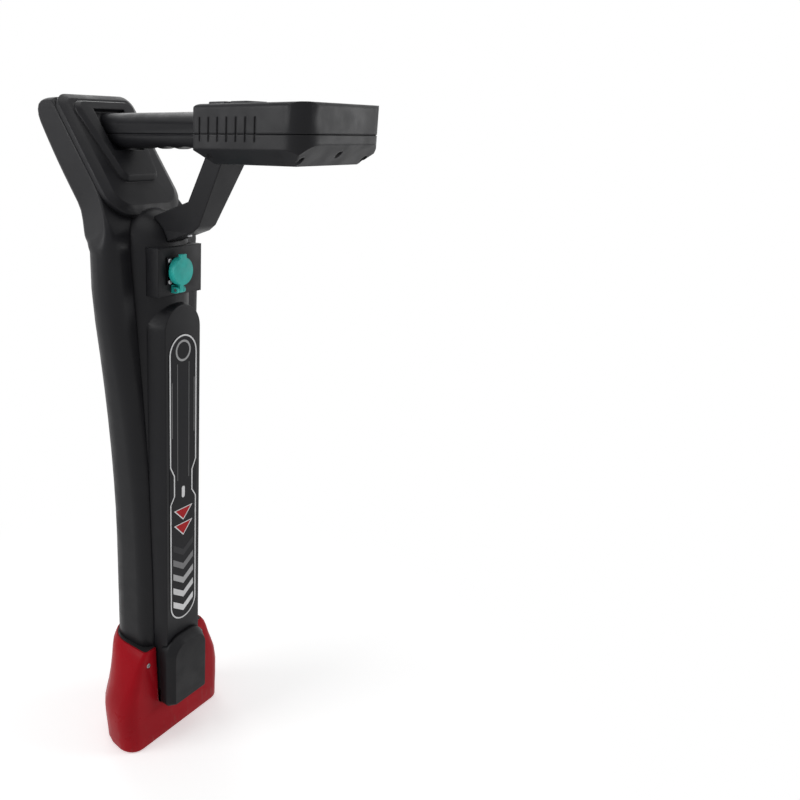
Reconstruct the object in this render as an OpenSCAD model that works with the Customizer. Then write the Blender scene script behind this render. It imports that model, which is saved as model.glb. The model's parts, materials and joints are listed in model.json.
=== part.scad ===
// Receiver wand of an underground cable locator.
// +X points forward, +Y to the wand's left, +Z up. The origin is under the wand, on the boot's sole.

/* [Wand shells] */
// Height where the wand starts to bend back into the head
neck_z = 548; // [535:1:560]
// Height of the shells' lower ends, inside the boot
shell_foot_z = 62; // [56:1:76]
// Wall of the wand's shells
shell_wall = 3; // [2:0.5:4]
// Radius of the round front lobe
lobe_r = 39.5; // [38:0.5:41]
// Distance of the lobe's axis in front of the origin
lobe_x = 4; // [3:0.5:5]
// Half width of the rear shell above the boot
wing_low = 40.8; // [39:0.2:43]
// Half width of the rear shell at the neck
wing_high = 64.7; // [60:0.1:68]
// Height where the rear shell starts to widen
widen_from = 235; // [200:5:280]
// Height where the rear shell is widest
widen_to = 501; // [480:1:530]
// How far behind the origin the rear shell's back lies
back_x = 25; // [24:0.5:30]
// Where the shells part at the foot, in front of the origin
part_low_x = 34; // [32:0.5:35]
// Where the shells part at the neck, in front of the origin
part_high_x = 16.5; // [15:0.5:19]
// Front edge radius of the rear shell
wing_front_r = 15; // [10:1:16]
// Back edge radius of the rear shell
wing_back_r = 25; // [16:1:25]

/* [Head] */
// Angle that the head leans back from upright
head_lean = 37; // [32:1:39]
// Radius of the bend at the neck
neck_bend_r = 50; // [48:1:60]
// Half width of the head
head_w = 49.3; // [46:0.1:52]
// Length of the head along its slope
head_len = 138; // [128:1:142]
// Depth of the head behind its parting line
head_depth = 35.2; // [33:0.1:39]
// Depth of the bend at the neck behind its parting line
bend_depth = 40.6; // [38:0.2:44]
// Length over which the neck narrows into the head
narrow_run = 74; // [64:1:80]
// Depth of the head in front of its parting line
head_front = 10; // [8:0.5:12]
// Width of the bevel round the head's front
head_bevel = 9; // [5:0.5:12]
// Upper corner radius of the head's front
head_corner_r = 14; // [8:1:18]
// Lower corner radius of the head's front
head_foot_r = 28; // [20:1:34]
// Height of the raised panel round the handle's root
panel_h = 6; // [4:0.5:8]
// Half width of the raised panel at its top
panel_top_w = 38; // [34:1:40]
// Half width of the raised panel at its bottom
panel_low_w = 26; // [24:1:32]
// Depth of the pocket that the handle enters
pocket_depth = 5; // [3:0.5:6]

/* [Label plateau] */
// Distance of the plateau's face in front of the origin
plateau_x = 50; // [48:0.5:52]
// Half width of the plateau's face
plateau_w = 25; // [23:0.5:26]
// Extra half width at the plateau's base
plateau_draft = 5; // [3:0.5:5]
// Distance of the plateau's round top below the neck
plateau_drop = 50; // [48:1:60]
// Half width of the label
label_w = 20.4; // [18:0.2:21]
// Lowest point of the label
label_low_z = 147; // [140:1:160]
// Distance of the label's highest point below the plateau's top
label_drop = 29; // [24:1:60]
// Thickness of the label film
label_t = 0.4; // [0.2:0.1:0.8]

/* [Boot] */
// Height of the boot
boot_h = 118; // [110:1:126]
// Half width of the boot where it is widest
boot_w = 77.8; // [72:0.1:82]
// Front of the boot's sole
boot_front_x = 43.5; // [41:0.1:46]
// Distance that the boot's rim stands out in front of the shells
boot_rim_out = 4; // [3.5:0.1:5]
// Distance that the rim stands out at the sides
boot_rim_side = 6.7; // [5:0.1:8]
// Front corner radius of the boot's lower part
boot_front_r = 17.5; // [14:0.5:24]
// Back corner radius of the boot's lower part, as far as its sides have room
boot_back_r = 71; // [50:1:75]
// Front corner radius of the rim
rim_front_r = 5; // [2:0.5:14]
// Back corner radius of the rim
rim_back_r = 33; // [28:1:35]
// Wall of the boot
boot_wall = 2.4; // [2:0.1:3]
// Half width of the boot's front notch
notch_w = 31; // [30.5:0.1:32]
// Height of the notch's lower edge
notch_z = 44; // [40:1:50]

/* [Battery bay] */
// Distance of the cover's face in front of the origin
cover_x = 62; // [59:0.5:65]
// Half width of the cover's face
cover_face_w = 24.5; // [23:0.5:28]
// Highest point of the cover
cover_top_z = 130; // [124:1:136]
// Diameter of a battery cell
cell_d = 18.4; // [18.2:0.1:18.6]
// Length of a battery cell
cell_len = 65; // [64:0.5:66]
// Height of the cells' lower ends
cell_z = 56; // [54:0.5:60]
// Wall of the battery tray
tray_wall = 1.5; // [1:0.1:1.8]

/* [Handle] */
// Width of the handle
handle_w = 28; // [26:0.5:32]
// Height of the handle's underside above the neck
handle_rise = 94; // [92:0.5:96]
// Height of the handle's section
handle_h = 32; // [30:0.5:33]
// Edge radius of the handle
handle_r = 11; // [8:0.5:12]
// Radius of the wire channel in the handle
channel_r = 6; // [4:0.5:7]
// Number of finger grooves
groove_n = 4; // [3:1:5]
// Distance between finger grooves
groove_pitch = 22; // [20:0.5:23]
// Depth of a finger groove
groove_depth = 2.5; // [1:0.1:3]
// Radius of a finger groove
groove_r = 20; // [14:1:24]
// Place of the first finger groove
groove_x = 18; // [14:1:20]

/* [Display box] */
// Back of the box
box_back_x = 112; // [110:0.5:114]
// Length of the box
box_len = 112; // [108:1:118]
// Half width of the box
box_w = 58; // [56:0.5:62]
// Height of the box's underside above the neck
box_rise = 84; // [82:0.5:86]
// Height of the box
box_h = 46; // [45:0.5:50]
// Height of the seam between the two case halves above the box's underside
seam_rise = 23.5; // [22:0.5:25]
// Radius of the box's upright front corners
box_corner_r = 19.5; // [16:0.5:22]
// Radius of the box's upright back corners
box_back_r = 5; // [4:0.5:8]
// Radius of the box's top edge at the back
top_back_r = 8; // [5:0.5:10]
// Radius of the box's other top edges
top_edge_r = 4; // [3:0.5:5]
// Wall of the box
box_wall = 2.5; // [2:0.1:3]
// Thickness of the box's top
top_wall = 3; // [2.6:0.1:3.4]
// Height of the lower bevel at the back and the sides
bevel_h = 12; // [11:0.5:15]
// Width of the lower bevel at the back and the sides
bevel_in = 14; // [10:0.5:15]
// Height of the lower bevel at the front
front_bevel_h = 16; // [12:0.5:18]
// Width of the lower bevel at the front
front_bevel_in = 17; // [14:0.5:19]
// Number of grip grooves on each side of the box
rib_n = 7; // [5:1:8]
// Distance between grip grooves
rib_pitch = 9.3; // [8:0.1:10]
// Width of a grip groove
rib_w = 1.6; // [1:0.1:2.4]
// Depth of a grip groove
rib_depth = 0.8; // [0.4:0.1:1.2]
// Distance from the box's front to the window
window_front = 14; // [14:0.5:18]
// Distance from the box's sides to the window
window_side = 14; // [14:0.5:20]
// Thickness of the window
window_t = 1.5; // [1:0.1:1.6]
// Ledge that the window rests on
window_ledge = 3; // [2:0.5:4]
// Thickness of the display panel
display_t = 5; // [3:0.5:7]
// Thickness of the main board
board_t = 1.6; // [1:0.1:2]
// Height of the main board's underside above the box's underside
board_rise = 16; // [14:0.5:18]
// Diameter of the loudspeaker
speaker_d = 36; // [28:1:40]
// Depth of the loudspeaker
speaker_h = 9; // [6:0.5:10]

/* [Keys] */
// Length of a key along the wand's front direction
key_len = 17; // [14:0.5:18]
// Distance from the box's sides to the outer keys
key_side = 8.5; // [8:0.5:12]
// Distance between neighbouring keys in a row
key_space = 9; // [6:0.5:12]
// Distance between key rows
key_pitch_x = 22; // [21:0.5:23]
// Height of a key above the box
key_proud = 1.8; // [1.2:0.1:3]
// Travel of a key
key_travel = 1; // [0.6:0.1:1.2]
// Width of a key's hidden rim
key_rim = 1.2; // [0.8:0.1:1.6]
// Thickness of a key's hidden rim
key_rim_t = 1.4; // [1:0.1:2]

/* [Strut] */
// Half width of the strut at its top
strut_top_w = 18.5; // [16:0.5:20]
// Half width of the strut at its foot
strut_foot_w = 11; // [9:0.5:12]
// Depth of the strut's foot inside the dome
strut_foot_x = 24; // [22:0.5:28]

/* [Socket] */
// Front face of the socket housing
housing_x = 46.5; // [45.5:0.5:48]
// Half width of the housing
housing_w = 30; // [28:0.5:32]
// Distance of the housing's underside below the socket
housing_drop = 24; // [22:0.5:26]
// Height of the housing
housing_h = 46; // [44:0.5:47]
// Sideways place of the socket
socket_y = -7; // [-9:0.5:0]
// Distance of the socket below the neck
socket_drop = 16; // [14:0.5:18]
// Width of the square flange
flange_w = 26; // [24:0.5:27]
// Thickness of the flange
flange_t = 2; // [1.5:0.1:2.5]
// Distance between flange screws
flange_pitch = 20; // [18.5:0.5:21]
// Outer radius of the socket's nose
nose_r = 9.3; // [8.8:0.1:9.6]
// Length of the nose in front of the flange
nose_len = 7; // [6:0.2:8]
// Radius of the socket's bore
socket_r = 7.5; // [7:0.1:7.8]
// Outer radius of the dust cap
cap_r = 13; // [12.8:0.1:13.4]
// Wall of the dust cap
cap_wall = 1.8; // [1.4:0.1:1.9]
// Radius of the cap's pin
cap_pin_r = 1.5; // [1.2:0.1:1.8]
// Height of the cap's pin below the socket
cap_pin_drop = 18; // [17.5:0.1:19]
// Width of the cap's lug
lug_w = 5; // [4:0.5:6]
// Width of each strap ear
ear_w = 3; // [2.5:0.1:4]

/* [Aerials] */
// Thickness of the spine
spine_t = 3; // [2:0.5:4]
// Half width of the spine
spine_w = 26; // [22:1:30]
// Front face of the spine, behind the origin
spine_x = 6; // [5:0.5:8]
// Distance of the spine's top below the neck
spine_drop = 3; // [2:1:10]
// Radius of a ferrite rod
ferrite_r = 5; // [4:0.5:6]
// Radius of a winding
winding_r = 9; // [8:0.5:10]
// Distance from the boot's widest part to the lower rod's ends
lower_rod_side = 12.5; // [12:0.5:20]
// Height of the lower rod
lower_rod_z = 30; // [24:1:36]
// Distance from the neck's widest part to the upper rod's ends
upper_rod_side = 8.7; // [8:0.1:16]
// Distance of the upper rod below the neck
upper_rod_drop = 48; // [44:1:54]
// Length of the upright rod
upright_rod_len = 90; // [70:1:100]
// Height of the upright rod's lower end
upright_rod_z = 180; // [170:1:200]
// Share of each rod that its winding covers
winding_share = 0.7; // [0.5:0.05:0.8]
// Lowest point of the receiver board
receiver_z = 320; // [300:5:340]
// Length of the receiver board
receiver_len = 150; // [120:5:155]
// Half width of the receiver board
receiver_w = 22; // [18:1:26]

/* [Fasteners and fits] */
// Thread radius of the case, head and boot screws
screw_r = 1.5; // [1.2:0.1:1.6]
// Head radius of the case, head and boot screws
screw_head_r = 2.9; // [2.5:0.1:3.1]
// Head height of the case, head and boot screws
screw_head_h = 2; // [1.6:0.1:2.4]
// Radius of the screw bosses
boss_r = 4.5; // [4:0.1:5]
// Thread radius of the socket screws
small_screw_r = 1.2; // [1:0.1:1.3]
// Head radius of the socket screws
small_head_r = 2.2; // [2:0.1:2.4]
// Gap between pieces that move or slip together
gap = 0.3; // [0.2:0.05:0.4]
// Radial clearance of pins and screws in their holes
pin_clear = 0.05; // [0.03:0.01:0.08]

/* [Hidden] */
plateau_top_z = neck_z - plateau_drop;
label_top_z = plateau_top_z - label_drop;
handle_low_z = neck_z + handle_rise;
handle_top_z = handle_low_z + handle_h;
box_low_z = neck_z + box_rise;
box_top_z = box_low_z + box_h;
seam_z = box_low_z + seam_rise;
board_z = box_low_z + board_rise;
socket_z = neck_z - socket_drop;
housing_low_z = socket_z - housing_drop;
spine_top_z = neck_z - spine_drop;
upper_rod_z = neck_z - upper_rod_drop;
lower_rod_len = 2 * (boot_w - lower_rod_side);
upper_rod_len = 2 * (wing_high - upper_rod_side);
window_w = box_w - window_side;
key_w = 2 * (box_w - key_side - key_space) / 3;
key_pitch_y = key_w + key_space;
boot_rim_front_x = part_low_x + boot_rim_out;
boot_rim_w = wing_low + boot_rim_side;

$fn = 64;
over = 1;
seat_gap = 0.1;
far = 400;
charcoal = [0.13, 0.13, 0.14];
black = [0.06, 0.06, 0.07];
red = [0.55, 0.08, 0.11];
teal = [0.10, 0.55, 0.52];
steel = [0.65, 0.66, 0.68];
board_green = [0.07, 0.30, 0.16];

// Curves of the rear shell: how its half width and its parting line change with height
widen_power = 1.75;
part_power = 1.8;
part_from = 120;
shaft_steps = 14;
bend_steps = 6;
edge_r = 2;
head_back_r = 8;
top_round = 8;
// The head's top edge at the back is rounded further: this deep, over this length
back_round = 25;
back_run = 21;
level_from = 0.45;
round_run = 40;
squash = 0.01;

function clamp01(t) = max(0, min(1, t));
function mix(a, b, t) = a + (b - a) * t;
function smooth(t) = t * t * (3 - 2 * t);
function wing_w(z) = mix(wing_low, wing_high,
    pow(clamp01((z - widen_from) / (widen_to - widen_from)), widen_power));
function part_x(z) = mix(part_low_x, part_high_x,
    pow(clamp01((z - part_from) / (neck_z - part_from)), part_power));

// A place on the parting line: [x, z, lean]
function shaft_place(z) = [part_x(z), z, 0];
function bend_place(a) = [part_high_x - neck_bend_r * (1 - cos(a)), neck_z + neck_bend_r * sin(a), a];
bend_end = bend_place(head_lean);
// Towards the head's top its sections turn level
function section_lean(s) = head_lean * (1 - clamp01((s / head_len - level_from) / (1 - level_from)));
function head_place(s) = [bend_end[0] - s * sin(head_lean), bend_end[1] + s * cos(head_lean),
    section_lean(s)];

// Half width of the opening that the front shell covers, at a place on the wand or the bend
function lobe_lip(p) = sqrt(max(over, pow(lobe_r - shell_wall, 2) - pow(p[0] - lobe_x, 2)
    - pow(max(0, p[1] - neck_z), 2)));

// A ring of the rear shell: [place, half width, depth, front radius, back radius, lip, inner share]
lip_in = shell_wall + edge_r;
function foot_half(s) = head_w - head_foot_r
    + sqrt(max(0, pow(head_foot_r, 2) - pow(max(0, head_foot_r - s), 2)));
ring_shaft = [for (i = [0 : shaft_steps])
    let (z = mix(shell_foot_z, neck_z, i / shaft_steps), p = shaft_place(z))
    [p, wing_w(z), p[0] + back_x, wing_front_r, wing_back_r, lobe_lip(p), 1]];
neck_depth = part_high_x + back_x;
bend_len = neck_bend_r * head_lean * PI / 180;
// How the depth changes along the bend and the head, with the distance from the neck
function neck_depth_at(d) = d < narrow_run / 2
    ? mix(neck_depth, bend_depth, sin(180 * d / narrow_run))
    : mix(bend_depth, head_depth, smooth(clamp01(2 * d / narrow_run - 1)));
function neck_ring(p, d, side_in, back_in, lip, share) = let (t = clamp01(d / round_run))
    [p, mix(wing_high, head_w, smooth(clamp01(d / narrow_run))) - side_in, neck_depth_at(d) - back_in,
        mix(wing_front_r, edge_r, t), mix(wing_back_r, head_back_r, t), lip, share];
ring_bend = [for (i = [1 : bend_steps])
    let (p = bend_place(head_lean * i / bend_steps))
    neck_ring(p, bend_len * i / bend_steps, 0, 0, lobe_lip(p), 1)];
// How far a round edge has drawn in at a place along the head, for its depth and its run
function drawn_in(s, depth, run) = depth * (1 - sqrt(1 - pow(clamp01((s - head_len + run) / run), 2)));
function head_ring(s, share) = let (side_in = drawn_in(s, top_round, top_round))
    neck_ring(head_place(s), bend_len + s, side_in, drawn_in(s, back_round, back_run),
        foot_half(s) - lip_in - side_in, share);
function top_ring(a, share) = head_ring(head_len - back_run * (1 - sin(a)), share);
foot_steps = 5;
level_steps = 5;
level_s = head_len * level_from;
ring_head = concat(
    [for (i = [1 : foot_steps]) head_ring(head_foot_r * i / foot_steps / 2, 1)],
    [for (i = [1 : foot_steps]) head_ring(mix(head_foot_r / 2, level_s, i / foot_steps), 1)],
    [for (i = [1 : level_steps]) head_ring(mix(level_s, head_len - back_run, i / level_steps), 1)],
    [for (a = [15, 30, 45, 57]) top_ring(a, 1)],
    [for (a = [59, 68, 78, 90]) top_ring(a, squash)]);
rings = concat(ring_shaft, ring_bend, ring_head);

front_arc_n = 4;
back_arc_n = 6;
function arc(cu, cy, r, a0, a1, n) = [for (i = [0 : n])
    let (a = mix(a0, a1, i / n)) [cu + r * cos(a), cy + r * sin(a)]];
function half_ring(w, depth, fr, br, lip, front) = concat([[front, -lip]],
    arc(front - fr, fr - w, fr, 0, -90, front_arc_n),
    arc(br - depth, br - w, br, -90, -180, back_arc_n));
function mirrored(pts) = [for (i = [len(pts) - 1 : -1 : 0]) [pts[i][0], -pts[i][1]]];
function whole_ring(half) = concat(half, mirrored(half));
function fit_r(r, depth, other) = min(r, depth - other - edge_r);
function outer_ring(q) = whole_ring(half_ring(q[1], q[2], q[3], fit_r(q[4], q[2], q[3]), q[5], 0));
function inner_ring(q) =
    let (t = shell_wall, fr = max(q[3] - t, over / 2), br = max(fit_r(q[4], q[2], q[3]) - t, over))
    [for (p = whole_ring(half_ring(q[1] - t, q[2] - t, fr, br, min(q[5], q[1] - t - fr), -t)))
        [q[6] == 1 ? p[0] : -gap + squash * (p[0] + gap), p[1]]];
function backwards(pts) = [for (i = [len(pts) - 1 : -1 : 0]) pts[i]];
function to_world(p, uv) = [p[0] + uv[0] * cos(p[2]), uv[1], p[1] + uv[0] * sin(p[2])];

// Skin of closed rings that all have the same number of points, with both ends closed by strips
function ring_skin(count, n) = [for (i = [0 : count - 2], j = [0 : n - 1], k = [0, 1])
    let (a = i * n + j, b = i * n + (j + 1) % n)
    k == 0 ? [a, b, b + n] : [a, b + n, a + n]];
function strip(base, n, flip) = [for (j = [0 : n / 2 - 2], k = [0, 1])
    let (a = base + j, b = base + j + 1, c = base + n - 2 - j, d = base + n - 1 - j)
    k == 0 ? (flip ? [a, c, b] : [a, b, c]) : (flip ? [a, d, c] : [a, c, d])];

module wand_body() {
    loops = [for (q = rings) [for (uv = concat(outer_ring(q), backwards(inner_ring(q)))) to_world(q[0], uv)]];
    n = len(loops[0]);
    last = (len(loops) - 1) * n;
    polyhedron(points = [for (loop = loops, p = loop) p],
        faces = concat(ring_skin(len(loops), n), strip(0, n, true), strip(last, n, false)));
}

// Frame of the head: local +X points out of the head's front, local +Z up its slope
module on_head() {
    translate([bend_end[0], 0, bend_end[1]]) rotate([0, -head_lean, 0]) children();
}

head_screw_low = 46;
head_screw_drop = 54;
head_screw_y = 33;
head_screw_sink = 1.2;
head_seat = head_screw_sink - head_depth;
module at_head_screws() {
    for (s = [head_screw_low, head_len - head_screw_drop], y = [-head_screw_y, head_screw_y])
        on_head() translate([0, y, s]) children();
}

// A cylinder along local X between two places
module rod_x(x0, x1, r) {
    translate([x0, 0, 0]) rotate([0, 90, 0]) cylinder(h = x1 - x0, r = r);
}
// A rod along Y, centred
module rod_y(len, r) {
    rotate([90, 0, 0]) cylinder(h = len, r = r, center = true);
}
// A plate between two X places with its outline given in Y and Z
module plate_x(x0, x1) {
    translate([x0, 0, 0]) rotate([90, 0, 90]) linear_extrude(x1 - x0) children();
}
// A bar that runs along Y with its outline given in X and Z
module bar_y(half) {
    rotate([90, 0, 0]) linear_extrude(2 * half, center = true) children();
}

module rear_shell() {
    color(charcoal) difference() {
        wand_body();
        at_head_screws() rod_x(-head_depth - over, -head_depth + 2 * shell_wall, screw_r + 2 * pin_clear);
        at_head_screws() rod_x(-head_depth - over, head_seat, screw_head_r + pin_clear);
    }
}

// Everything behind the parting line, as a bar across the wand
module behind_parting() {
    line = concat([for (q = ring_shaft) [q[0][0], q[0][1]]], [for (q = ring_bend) [q[0][0], q[0][1]]],
        [[head_place(2 * head_len)[0], head_place(2 * head_len)[1]]]);
    bar_y(far) polygon(concat([[line[0][0], -over]], line, [[-far, line[len(line) - 1][1]], [-far, -over]]));
}

module lobe_solid(r, low) {
    translate([lobe_x, 0, low]) cylinder(h = neck_z - low, r = r, $fn = 96);
    translate([lobe_x, 0, neck_z]) sphere(r = r, $fn = 96);
}

// The four round corners of the head's front, drawn in by an inset
module head_slab(x0, x1, inset) {
    r = max(head_corner_r - inset, over);
    foot_r = head_foot_r - inset;
    for (y = [-1, 1]) {
        translate([0, y * (head_w - head_foot_r), head_foot_r]) rod_x(x0, x1, foot_r, $fn = 48);
        translate([0, y * (head_w - inset - r), head_len - inset - r]) rod_x(x0, x1, r, $fn = 32);
    }
}
// The hollow behind the head's front, with the same lower corners
module head_hollow(x0, x1) {
    top_s = head_len - top_round - lip_in;
    for (y = [-1, 1]) translate([0, y * (head_w - head_foot_r), head_foot_r])
        rod_x(x0, x1, head_foot_r - lip_in);
    translate([x0, lip_in - head_w, head_foot_r]) cube([x1 - x0, 2 * (head_w - lip_in), top_s - head_foot_r]);
    translate([x0, head_foot_r - head_w, lip_in]) cube([x1 - x0, 2 * (head_w - head_foot_r), head_foot_r]);
}
head_side = head_front - head_bevel / 2;
module head_plate() {
    hull() {
        head_slab(0, head_side, over / 2);
        head_slab(0, head_front, head_bevel);
    }
}

panel_low_s = 34;
panel_drop = 13;
panel_top_s = head_len - panel_drop;
panel_corner_r = 10;
panel_bevel = 4;
module panel_slab(x0, x1, inset) {
    r = panel_corner_r - inset;
    for (y = [-1, 1]) {
        translate([0, y * (panel_low_w - panel_corner_r), panel_low_s + panel_corner_r])
            rod_x(x0, x1, r, $fn = 32);
        translate([0, y * (panel_top_w - panel_corner_r), panel_top_s - panel_corner_r])
            rod_x(x0, x1, r, $fn = 32);
    }
}
module panel() {
    hull() {
        panel_slab(head_front - over, head_front + panel_h - panel_bevel, 0);
        panel_slab(head_front - over, head_front + panel_h, panel_bevel);
    }
}
// Seat of the handle's root, in the head's frame
seat_x = head_front + panel_h - pocket_depth;
pocket_margin = 6;
function slope_at(z) = (z - bend_end[1] - seat_x * sin(head_lean)) / cos(head_lean);
pocket_low_s = slope_at(handle_low_z) - pocket_margin;
pocket_over = 1.5;
pocket_top_s = slope_at(handle_top_z) + pocket_over;
module pocket() {
    translate([seat_x, -handle_w / 2 - pocket_margin, pocket_low_s])
        cube([far, handle_w + 2 * pocket_margin, pocket_top_s - pocket_low_s]);
}

// The raised label plateau, with a round top, grown all round by a clearance
plateau_foot_z = shell_foot_z;
module plateau_slab(x0, x1, w) {
    translate([0, 0, plateau_top_z - plateau_w]) rod_x(x0, x1, w, $fn = 48);
    translate([x0, -w, plateau_foot_z]) cube([x1 - x0, 2 * w, over]);
}
plateau_base_x = 30;
module plateau(grow) {
    hull() {
        plateau_slab(plateau_base_x, plateau_base_x + over, plateau_w + plateau_draft + grow);
        plateau_slab(plateau_x + grow - over, plateau_x + grow, plateau_w + grow);
    }
}

bay_side = 2;
bay_lip = 4;
bay_w = cell_d + bay_side;
bay_low_z = cell_z + bay_lip;
bay_top_z = cell_z + cell_len - bay_lip;
socket_body_r = nose_r - 0.3;
head_post_r = boss_r;
head_post_end = -head_depth + shell_wall + over;
module front_shell() {
    color(charcoal) difference() {
        union() {
            difference() {
                union() {
                    lobe_solid(lobe_r, shell_foot_z);
                    plateau(0);
                    on_head() head_plate();
                    on_head() panel();
                }
                lobe_solid(lobe_r - shell_wall, 0);
                behind_parting();
                on_head() head_hollow(-over, head_front - shell_wall);
            }
            at_head_screws() rod_x(head_post_end + gap, head_front - over, head_post_r);
        }
        on_head() pocket();
        at_head_screws() rod_x(head_post_end, -over, screw_r + pin_clear);
        translate([0, -bay_w, bay_low_z]) cube([far, 2 * bay_w, bay_top_z - bay_low_z]);
        translate([0, socket_y, socket_z]) rod_x(lobe_x, far, socket_body_r + gap);
        strut_solid(gap, strut_foot_x - gap);
    }
}

// A screw along local X: its head starts at X 0 and stands towards -X
module screw_x(len, r, head_r, head_h) {
    rod_x(0, len, r);
    rod_x(-head_h, 0, head_r);
}
module screw_up(len, r, head_r, head_h) {
    rotate([0, -90, 0]) screw_x(len, r, head_r, head_h);
}
head_screw_len = 20;
module head_screws() {
    color(steel) at_head_screws() translate([head_seat, 0, 0])
        screw_x(head_screw_len, screw_r, screw_head_r, screw_head_h);
}

module label() {
    color(black) plate_x(plateau_x, plateau_x + label_t) {
        for (z = [label_low_z + label_w, label_top_z - label_w]) translate([0, z]) circle(r = label_w);
        translate([-label_w, label_low_z + label_w])
            square([2 * label_w, label_top_z - label_low_z - 2 * label_w]);
    }
}

// The boot: rings of an outline with round corners,
// each [height, half width, front, back, front radius, back radius]
rim_h = 6;
// Lip of the rim, and the step inside it that holds the seal
lip_w = 1.6;
lip_h = 3;
sole_edge = 2;
corner_from = 40;
boot_back_x = back_x + gap + boot_wall + seat_gap;
// How the boot's half width changes with height: [share of the height, share of the flare]
boot_profile = [[0, 0.914], [0.12, 0.947], [0.24, 0.99], [0.32, 1], [0.42, 0.987], [0.5, 0.914],
    [0.58, 0.828], [0.68, 0.65], [0.79, 0.442], [0.88, 0.294], [0.95, 0.149], [1, 0]];
function boot_half_w(z) = mix(boot_rim_w, boot_w, lookup(z / boot_h, boot_profile));
function boot_ring(z, inset) = let (t = clamp01((z - corner_from) / (boot_h - rim_h - corner_from)),
        front = mix(boot_front_x, boot_rim_front_x, z / boot_h), front_r = mix(boot_front_r, rim_front_r, t))
    [z, boot_half_w(z) - inset, front - inset, boot_back_x - inset, max(front_r - inset, over),
        min(mix(boot_back_r, rim_back_r, t), front + boot_back_x - front_r - edge_r) - inset];
rim_ring = [boot_h, wing_low + gap, part_low_x + gap, back_x + gap, wing_front_r + gap,
    fit_r(wing_back_r, part_low_x + back_x, wing_front_r) + gap];
boot_levels = [for (i = [1 : len(boot_profile) - 2]) boot_profile[i][0] * boot_h];
boot_outer = concat([boot_ring(0, sole_edge), boot_ring(sole_edge, 0)],
    [for (z = boot_levels) boot_ring(z, 0)], [boot_ring(boot_h, 0)]);
function with_z(ring, z) = [z, ring[1], ring[2], ring[3], ring[4], ring[5]];
boot_inner = concat([boot_ring(boot_wall, boot_wall)],
    [for (z = boot_levels) if (z < boot_h - rim_h) with_z(boot_ring(z, boot_wall), z - boot_wall)],
    [with_z(rim_ring, boot_h - rim_h), with_z(rim_ring, boot_h - lip_h),
        with_z(boot_ring(boot_h, lip_w), boot_h - lip_h), boot_ring(boot_h, lip_w)]);
function boot_half(q) = concat(arc(q[2] - q[4], q[4] - q[1], q[4], 0, -90, back_arc_n),
    arc(q[5] - q[3], q[5] - q[1], q[5], -90, -180, back_arc_n));
function boot_loop(q) = [for (uv = whole_ring(boot_half(q))) [uv[0], uv[1], q[0]]];
module boot_skin() {
    loops = concat([for (q = boot_outer) boot_loop(q)],
        [for (i = [len(boot_inner) - 1 : -1 : 0]) boot_loop(boot_inner[i])]);
    n = len(loops[0]);
    last = (len(loops) - 1) * n;
    polyhedron(points = [for (loop = loops, p = loop) p],
        faces = concat(ring_skin(len(loops), n), strip(0, n, true), strip(last, n, false)));
}
boot_screw_y = 43;
boot_screw_drop = 17;
boot_screw_z = boot_h - boot_screw_drop;
boot_screw_len = 3;
boot_face_x = mix(boot_front_x, boot_rim_front_x, boot_screw_z / boot_h);
boot_screw_in = 1.2;
module at_boot_screws() {
    for (y = [-boot_screw_y, boot_screw_y])
        translate([boot_face_x - boot_screw_in, y, boot_screw_z]) rotate([0, 0, 180]) children();
}
// The front notch, with lower corners that follow the cover's
cover_corner_r = 8;
notch_r = cover_corner_r + gap;
module boot_notch() {
    round_y = notch_w - notch_r;
    round_z = notch_z + notch_r;
    plate_x(0, far) {
        for (y = [-round_y, round_y]) translate([y, round_z]) circle(r = notch_r);
        translate([-notch_w, round_z]) square([2 * notch_w, far]);
        translate([-round_y, notch_z]) square([2 * round_y, far]);
    }
}
module boot() {
    color(red) difference() {
        boot_skin();
        boot_notch();
        at_boot_screws() rod_x(-far, 0, screw_head_r + pin_clear);
        at_boot_screws() rod_x(-over, boot_screw_len + over, screw_r + pin_clear);
    }
}
// The seal that closes the boot's mouth round the shells
module boot_plan(q, low, high) {
    translate([0, 0, low]) linear_extrude(high - low) polygon([for (p = boot_loop(q)) [p[0], p[1]]]);
}
module boot_seal() {
    low_z = boot_h - lip_h;
    color(black) difference() {
        boot_plan(boot_ring(boot_h, lip_w + seat_gap), low_z, boot_h);
        boot_plan(rim_ring, low_z - over, boot_h + over);
        boot_notch();
    }
}
module boot_screws() {
    color(steel) at_boot_screws() screw_x(boot_screw_len, screw_r, screw_head_r, boot_screw_in);
}

// The battery cover: an arched outline with bevelled edges, and a rim that plugs the bay
cover_low_z = notch_z + gap + over / 2;
cover_base_w = notch_w - gap - over / 5;
cover_arch_r = 22;
cover_skirt = 6;
cover_side = 3;
cover_back_x = plateau_x - cover_skirt;
cover_side_x = plateau_x + cover_side;
cover_bevel = cover_base_w - cover_face_w;
plug_depth = 2;
// A disc with a bevelled front, along local X
module cover_round(r) {
    rod_x(cover_back_x, cover_side_x, r);
    translate([cover_side_x, 0, 0]) rotate([0, 90, 0])
        cylinder(h = cover_x - cover_side_x, r1 = r, r2 = r - cover_bevel);
}
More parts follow.
